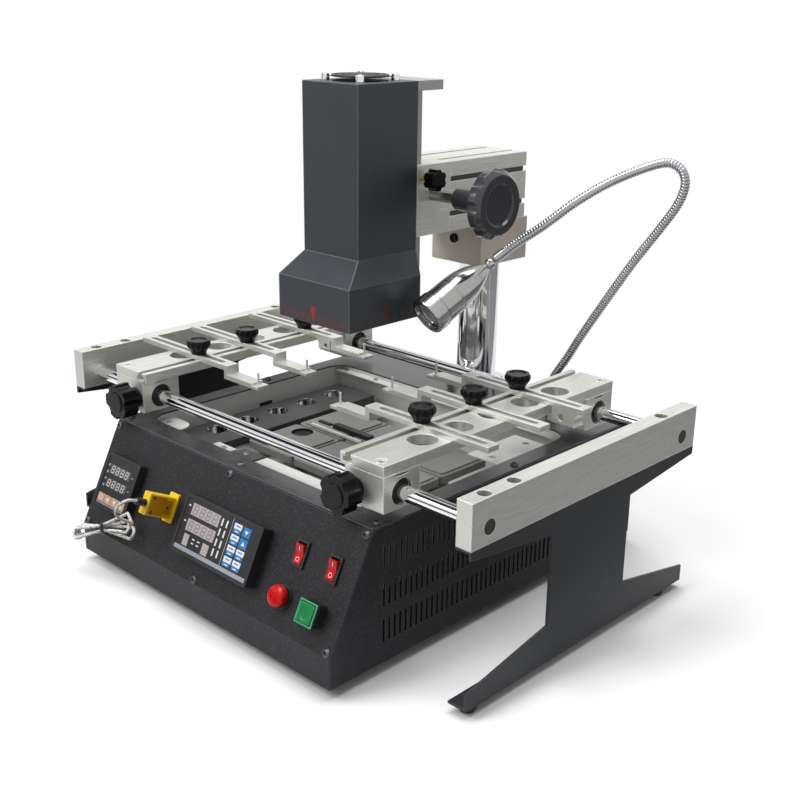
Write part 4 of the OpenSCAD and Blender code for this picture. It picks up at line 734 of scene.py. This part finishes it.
def neck_sleeve():
    """The plain ferrule at the lamp's end of the neck."""
    before, end = (Vector(p) for p in NECK_POINTS[-2:])
    m = along_axis(LAMP_FOOT + end, (before - end).normalized())
    ferrule = Pieces("neck_ferrule", LAMP_METAL, "lamp_neck", "chrome", True)
    ferrule.lathe(m, [(3.4, 0.6), (4.3, 1.2), (4.5, 9.0), (4.3, 13.0), (3.7, 13.6)], 32)
    ferrule.build()


def arm_details():
    """Dark strips in the arm's slots, the clamp's cap screw and the plug beside it."""
    slot_x, half_strip, half_length, slot_floor, strip_top = 15, 4.7, 51.5, 23.7, 27.0
    strips = Pieces("arm_slot_strips", BAR_PAINT, "boom")
    middle = Vector((0, BOOM_BACK - BOOM_LENGTH / 2, BOOM_Z + BOOM_HALF))
    for quarter in (0, 1, 3):  # top and both sides
        m = Matrix.Translation(middle * MM) @ Matrix.Rotation(QUARTER * quarter, 4, "Y")
        for x in (-slot_x, slot_x):
            strips.rect(m, x - half_strip, x + half_strip, -half_length, half_length,
                        slot_floor, strip_top, 0.2)
    strips.build()
    screw = Pieces("clamp_screw", KNOB, "boom", None, True)
    screw.lathe(facing_front(-3, CLAMP_FRONT, BOOM_Z - 17),
                [(4.4, -0.2), (4.4, 1.2), (3.9, 1.8), (2.4, 1.8), (2.2, 0.8), (0.3, 0.8)], 32)
    screw.build()
    plug = Pieces("clamp_plug", CLAMP, "boom")
    plug.disc(facing_front(18, CLAMP_FRONT, BOOM_Z - 12), 0, 0, radius=3.6, low=-0.4, high=0.15, inset=0.1,
              sides=32)
    plug.build()


# The sensor's cord: lead points on the sloped panel, then the hank in a frame of its own
LEAD_POINTS = [(-54, 47.5, 38), (-54, 47.4, 42), (-55, 46, 46.5), (-58, 42, 49), (-63, 36.5, 47.5),
               (-68.5, 31, 42), (-72.5, 27.5, 34), (-75, 25.6, 26), (-76.6, 24.8, 19), (-78.5, 24, 15),
               (-81.5, 22.7, 13.4)]
HANK_MID = (-116.0, 7.4, 8.6)
HANK_TURN = math.radians(24)
# Each turn's level, right end and lean in degrees
HANK_LAYERS = ((7.0, 36.0, 6.0), (4.3, 30.0, -4.0), (1.6, 34.0, -13.0))
HANK_LEFT, TIE_X = -33.0, 3
LEFT_REACH, RIGHT_REACH = 4.2, 5.2


def strand_gap(x):
    """Half the gap between a turn's two strands: pinched at the tie, opening to either end."""
    away = abs(x - TIE_X) / 34
    return (LEFT_REACH if x < TIE_X else RIGHT_REACH) * (0.5 + 0.5 * min(away, 1.0) ** 1.3)


def leaning(x, y, z, degrees):
    """A point of the hank turned about the tie, less so on the tie's left."""
    lean = math.radians(degrees if x > TIE_X else 0.35 * degrees)
    c, s = math.cos(lean), math.sin(lean)
    return Vector((TIE_X + c * (x - TIE_X) - s * y, s * (x - TIE_X) + c * y, z))


def hank_points():
    """The hank's turns: a strand to the left, a bend, a strand back, and a bend into the next turn."""
    strand, bend = 18, 12  # steps along each
    left_share, back_share, right_share = 0.3, 0.4, 0.3  # of the drop to the next turn
    last = len(HANK_LAYERS) - 1
    out = []
    for turn, (level, right_end, lean) in enumerate(HANK_LAYERS):
        next_level, next_right, next_lean = HANK_LAYERS[min(turn + 1, last)]
        rise = next_level - level
        for k in range(strand + 1):
            x = right_end + (HANK_LEFT - right_end) * k / strand
            out.append(leaning(x, strand_gap(x), level, lean))
        for k in range(1, bend):
            a = math.pi / 2 + math.pi * k / bend
            out.append(leaning(HANK_LEFT + LEFT_REACH * math.cos(a), LEFT_REACH * math.sin(a),
                               level + rise * left_share * k / bend, lean))
        for k in range(strand + 1):
            x = HANK_LEFT + (next_right - HANK_LEFT) * k / strand
            out.append(leaning(x, -strand_gap(x), level + rise * (left_share + back_share * k / strand),
                               lean + (next_lean - lean) * k / strand))
        if turn < last:
            for k in range(1, bend):
                a = -math.pi / 2 + math.pi * k / bend
                out.append(leaning(next_right + RIGHT_REACH * math.cos(a), RIGHT_REACH * math.sin(a),
                                   level + rise * (1 - right_share + right_share * k / bend), next_lean))
    return out


def sensor_cord():
    """The braided lead from the plug and its tied hank, one cord."""
    radius, step = 0.0013, 0.0012
    lead = [panel_matrix(u, v, w).translation for u, v, w in smooth_curve(LEAD_POINTS, 8)]
    hank = panel_matrix(*HANK_MID) @ Matrix.Rotation(HANK_TURN, 4, "Z")
    joined = lead[:-4] + [hank @ (p * MM) for p in hank_points()]
    path = resample(smooth_curve(joined, 3), step)
    cord = sweep("sensor_cord", path, [radius] * len(path), 12, braid_material(), "sensor")
    tie = Pieces("sensor_tie", SLEEVE, "sensor")
    m = hank @ Matrix.Translation(Vector((TIE_X, 0, 0)) * MM) @ Matrix.Rotation(QUARTER, 4, "Y")
    tie.ring(m, -4.35, 0, (5.5, 5.7), (4.4, 4.6), -1.5, 1.5, 40)
    tie_obj = tie.build()
    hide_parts("sensor_lead", "sensor_hank")


def plug_details():
    """The plug's amber side with its screws, and the dark sleeve on the cord."""
    half_plug, sleeve_level = 4.5, 29.05
    m = panel_matrix(SENSOR_U + half_plug, SENSOR_V, 2) @ Matrix.Rotation(QUARTER, 4, "Y")
    side = Pieces("plug_side", AMBER, "sensor")
    side.prism(m, [(-25.5, -8), (-10, -8), (-10, -6), (-3, -6), (-3, 6), (-10, 6), (-10, 8), (-25.5, 8)],
               -0.1, 0.3)
    side.build()
    screws = Pieces("plug_screws", SCREW, "sensor")
    for x, y in ((-22.5, 6), (-22.5, -6), (-7, 0)):
        screws.disc(m, x, y, radius=1.5, low=0.2, high=0.5, inset=0.3, sides=20)
    screws.build()
    paint_faces("sensor_plug", SLEEVE, lambda c, n: on_panel(c).z > sleeve_level)


# Second finishes on CAD faces
def nearest(x, y, spots):
    """Distance in a plane from a point to the nearest of some spots."""
    return min(math.hypot(x - a, y - b) for a, b in spots)


def in_cover_socket(c, n):
    """True for the faces of a cover screw's hexagon recess, on the deck or on the sloped panel."""
    reach = 1.6
    if c.z > DECK_H + 0.3:
        rows = [DECK_Y + 9, DECK_Y + 167.5, DECK_Y + 326]
        return nearest(c.x, c.y, [(0.0, rows[0])] + [(x, y) for x in (-156, 156) for y in rows]) < reach
    p = on_panel(c)
    return nearest(p.x, p.y, [(u, v) for u in (-157.5, 0, 157.5) for v in (3.5, 93)]) < reach


def on_fan_screw(c, n):
    """True for the heads of the four screws on the fan's guard."""
    guard_top, pitch, reach = 419.6, 20, 3.6
    return c.z > guard_top and abs(abs(c.x) - pitch) < reach and abs(abs(c.y - FAN_Y) - pitch) < reach


def paint_details():
    """The sensor's socket, bushings, rail ends, screws, holes darkened with painted shade, bracket, lock pin
    and the sloped panel, darkened with painted shade.
    """
    half_socket, pin_end = 8, 38.3
    bolt_floor, bolt_top = 160.0, 162.5
    bracket_left, bracket_right, bracket_back = -34.1, -7.9, DECK_Y + 60
    paint_faces("panel_fittings", YELLOW, lambda c, n: abs(c.x - SENSOR_U) < half_socket)
    for side in SIDES:
        paint_faces(side + "_bearings", BLACK,
                    lambda c, n: nearest(c.y, c.z, [(y, RAIL_Z) for y in RAIL_YS]) < HOLE_REACH)
    paint_faces("guide_rails", RAIL_END, lambda c, n: abs(n.x) > 0.9)
    # The floors of the beams' bolt holes: dark screw heads, deepened to near black as painted shade
    for side in SIDES:
        paint_faces(side + "_beam", RECESS_SHADE, lambda c, n: bolt_floor < c.z < bolt_top and n.z > 0.9)
    paint_faces("fan_frame", CHROME, on_fan_screw)
    paint_faces("bay_liner", BAR_PAINT, lambda c, n: bracket_left < c.x < bracket_right
                and c.y < bracket_back and LEDGE_Z - 2 < c.z < LEDGE_Z + 1)
    paint_faces("head_lock_knob", BRASS, lambda c, n: c.x < pin_end)
    # The panel's sloped faces take the darker coat as painted shade
    paint_faces("front_panel", SLOPE_SHADE_COAT, lambda c, n: n.z > 0.2 and n.y < -0.5)
    # The shallow sockets of the cover screws, darkened as painted shade
    paint_faces("cover_screws", RECESS_SHADE, in_cover_socket)
    paint_faces("board_support_bar", CHROME,
                lambda c, n: abs(n.z) < 0.2 and nearest(c.x, c.y, BAR_HOLES) < HOLE_REACH)
    # The walls at the top of the heater's hole, darkened as painted shade
    paint_faces("lower_heaters", RECESS_SHADE,
                lambda c, n: c.z > HEATER_TOP - 1 and nearest(c.x, c.y, [HEATER_HOLE]) < 10.2)


def bay_details():
    """Screws on the bay's ledges, the heater's socket, clip and lip, and a flat plate of painted shade for
    the slot in the bay's wall.
    """
    flat = Matrix.Identity(4)
    screws = Pieces("ledge_screws", STEEL, "station")
    for x, y in ((-24, 13), (110, 10), (-48, 8), (-132, 12), (-132, 231.5), (-90, 231.5), (100, 231.5)):
        screws.disc(flat, x, LEDGE_Y + y, radius=2.6, low=LEDGE_Z - 0.05, high=LEDGE_Z + 1.2, inset=0.6,
                    sides=24)
    screws.build()
    socket = Pieces("heater_socket", BLACK, "station", None, True)
    socket.lathe(Matrix.Translation(Vector((*HEATER_HOLE, HEATER_TOP)) * MM),
                 [(9.4, -0.1), (9.4, 1.4), (8.8, 2.0), (4.6, 2.0), (4.2, 1.0), (0.3, 1.0)])
    socket.build()
    seat = 105.9
    clip = Pieces("heater_clip", SLEEVE, "station")
    clip.rect(flat, -44, 4, 3.4, 10, seat, 110.2, 0.4)
    clip.rect(flat, -66, -50, 5.4, 9.4, seat, 107.6, 0.3)
    clip.build()
    plates("heater_lip", LINER, flat, [(-64, 2, -5.8, -3.2)], seat, 108.2, 0.3)
    # A flat dark plate on the wall, painted shade standing for the slot
    plates("bay_wall_slot_shade", RECESS_SHADE, facing_right(-145.5, 8, 103.5), [(-8, 8, -2.2, 2.2)], -0.1, 0.1)


lower_controller_face()
upper_controller_face()
rocker_marks(103, "lighting_switch")
rocker_marks(139, "fan_switch")
head_scale()
gooseneck()
lamp_lens()
neck_sleeve()
arm_details()
sensor_cord()
plug_details()
paint_details()
start_rim()
bay_details()


# Stage, in metres
def seen_rays(tree):
    """One for camera, mirror and glass rays, nought for the rays that only carry light."""
    path = tree.nodes.new("ShaderNodeLightPath")
    mirror = math_node(tree, "MAXIMUM", path.outputs["Is Glossy Ray"], path.outputs["Is Transmission Ray"])
    return math_node(tree, "MAXIMUM", path.outputs["Is Camera Ray"], mirror)


def blend_shaders(tree, factor, first, second, surface):
    """Feeds a surface socket with a blend of two shaders."""
    blend = tree.nodes.new("ShaderNodeMixShader")
    for index, value in enumerate((factor, first, second)):
        tree.links.new(value, blend.inputs[index])
    tree.links.new(blend.outputs[0], surface)


def lay_floor():
    """A pale floor that keeps the shadow and turns plain white away from the object."""
    near, far, half = 0.32, 0.72, 6
    floor_mat, tree, bsdf = new_material("floor_white")
    coord = tree.nodes.new("ShaderNodeTexCoord")
    tint = mix_colour(tree, noise_node(tree, coord.outputs["Object"], 3.0), grey(0.92), grey(0.95))
    seen = seen_rays(tree)
    tree.links.new(mix_colour(tree, seen, grey(0.3), tint), bsdf.inputs["Base Color"])
    bsdf.inputs["Roughness"].default_value = 0.8
    bsdf.inputs["Specular IOR Level"].default_value = 0.1
    away = tree.nodes.new("ShaderNodeVectorMath")
    away.operation = "LENGTH"
    tree.links.new(coord.outputs["Object"], away.inputs[0])
    fade = range_node(tree, away.outputs["Value"], near, far, kind="SMOOTHSTEP")
    white = tree.nodes.new("ShaderNodeEmission")
    blend_shaders(tree, math_node(tree, "MULTIPLY", fade, seen), bsdf.outputs[0], white.outputs[0],
                  tree.nodes["Material Output"].inputs["Surface"])
    mesh = bpy.data.meshes.new("floor")
    corners = [(-half, -half, 0), (half, -half, 0), (half, half, 0), (-half, half, 0)]
    mesh.from_pydata(corners, [], [[0, 1, 2, 3]])
    mesh.materials.append(floor_mat)
    floor = new_object("floor", mesh)


def white_room():
    """A world that looks white and lights the object dimly."""
    world = bpy.data.worlds.new("studio")
    bpy.context.scene.world = world
    world.use_nodes = True
    tree = world.node_tree
    tree.nodes.clear()
    out = tree.nodes.new("ShaderNodeOutputWorld")
    light = tree.nodes.new("ShaderNodeBackground")
    light.inputs["Color"].default_value = (0.97, 0.98, 1.0, 1)
    light.inputs["Strength"].default_value = 0.32
    room = tree.nodes.new("ShaderNodeBackground")
    room.inputs["Color"].default_value = grey(1)
    blend_shaders(tree, seen_rays(tree), light.outputs[0], room.outputs[0], out.inputs["Surface"])


def soft_lamp(name, place, target, size, power):
    """A wide lamp turned to a target, its power in watts."""
    lamp = bpy.data.lights.new(name, "AREA")
    lamp.shape = "RECTANGLE"
    lamp.size, lamp.size_y = size
    lamp.energy = power
    obj = new_object(name, lamp)
    obj.location = place
    obj.rotation_euler = (Vector(target) - Vector(place)).to_track_quat("-Z", "Y").to_euler()


def mirror_cards():
    """A grey card and three black ones that only mirror rays meet: they give polished metal its contrast."""
    card_looks = []
    for name, level in (("card_grey", 0.28), ("card_black", 0.03)):
        card_look, _, bsdf = new_material(name)
        bsdf.inputs["Base Color"].default_value = grey(level)
        bsdf.inputs["Roughness"].default_value = 1.0
        bsdf.inputs["Specular IOR Level"].default_value = 0.0
        card_looks.append(card_look)
    above_floor = 0.002
    grey_card = ((0.3, -0.3), (2.5, -0.3), (2.5, 2.5), (0.0, 2.5), (0.3, 0.35))
    cards = [[(x, y, above_floor) for x, y in grey_card]]
    wall_x, hub_y, hub_z, inner, outer = -1.0, -0.1, 0.15, 0.3, 2.4
    for low, high in ((60, 72), (86, 130), (170, 196)):
        wedge = []
        for angle, radius in ((low, inner), (high, inner), (high, outer), (low, outer)):
            turn = math.radians(angle)
            wedge.append((wall_x, hub_y + radius * math.cos(turn), hub_z + radius * math.sin(turn)))
        cards.append(wedge)
    for index, corners in enumerate(cards):
        mesh = bpy.data.meshes.new(f"card_{index}")
        mesh.from_pydata(corners, [], [list(range(len(corners)))])
        mesh.materials.append(card_looks[min(index, 1)])
        card = new_object(f"card_{index}", mesh)
        card.visible_camera = card.visible_diffuse = card.visible_transmission = card.visible_shadow = False


def place_camera():
    """The camera solved on the photograph's table and cabinet corners."""
    yaw, pitch, roll = (math.radians(a) for a in (43.90, 19.149, 0.704))
    ahead = Vector((-math.sin(yaw) * math.cos(pitch), math.cos(yaw) * math.cos(pitch), -math.sin(pitch)))
    right = Vector((math.cos(yaw), math.sin(yaw), 0))
    up = right.cross(ahead)
    c, s = math.cos(roll), math.sin(roll)
    right, up = c * right + s * up, -s * right + c * up
    cam = bpy.data.cameras.new("camera")
    cam.sensor_width = 36.0
    cam.lens = 52.48
    cam.clip_start = 0.01
    obj = new_object("camera", cam)
    m = Matrix((right, up, -ahead)).transposed().to_4x4()
    m.translation = (0.7002, -0.6806, 0.4848)
    obj.matrix_world = m
    bpy.context.scene.camera = obj
    bpy.context.scene.view_settings.view_transform = "Standard"


lay_floor()
white_room()
soft_lamp("key_soft", (-0.8, -1.5, 1.7), (0, 0, 0.2), (1.2, 1.2), power=32)
soft_lamp("fill_soft", (1.8, -0.6, 1.2), (0, 0, 0.2), (1.0, 1.2), power=0.5)
soft_lamp("top_soft", (-0.1, 0.2, 2.2), (0, 0, 0.15), (1.6, 1.4), power=41)
mirror_cards()
place_camera()
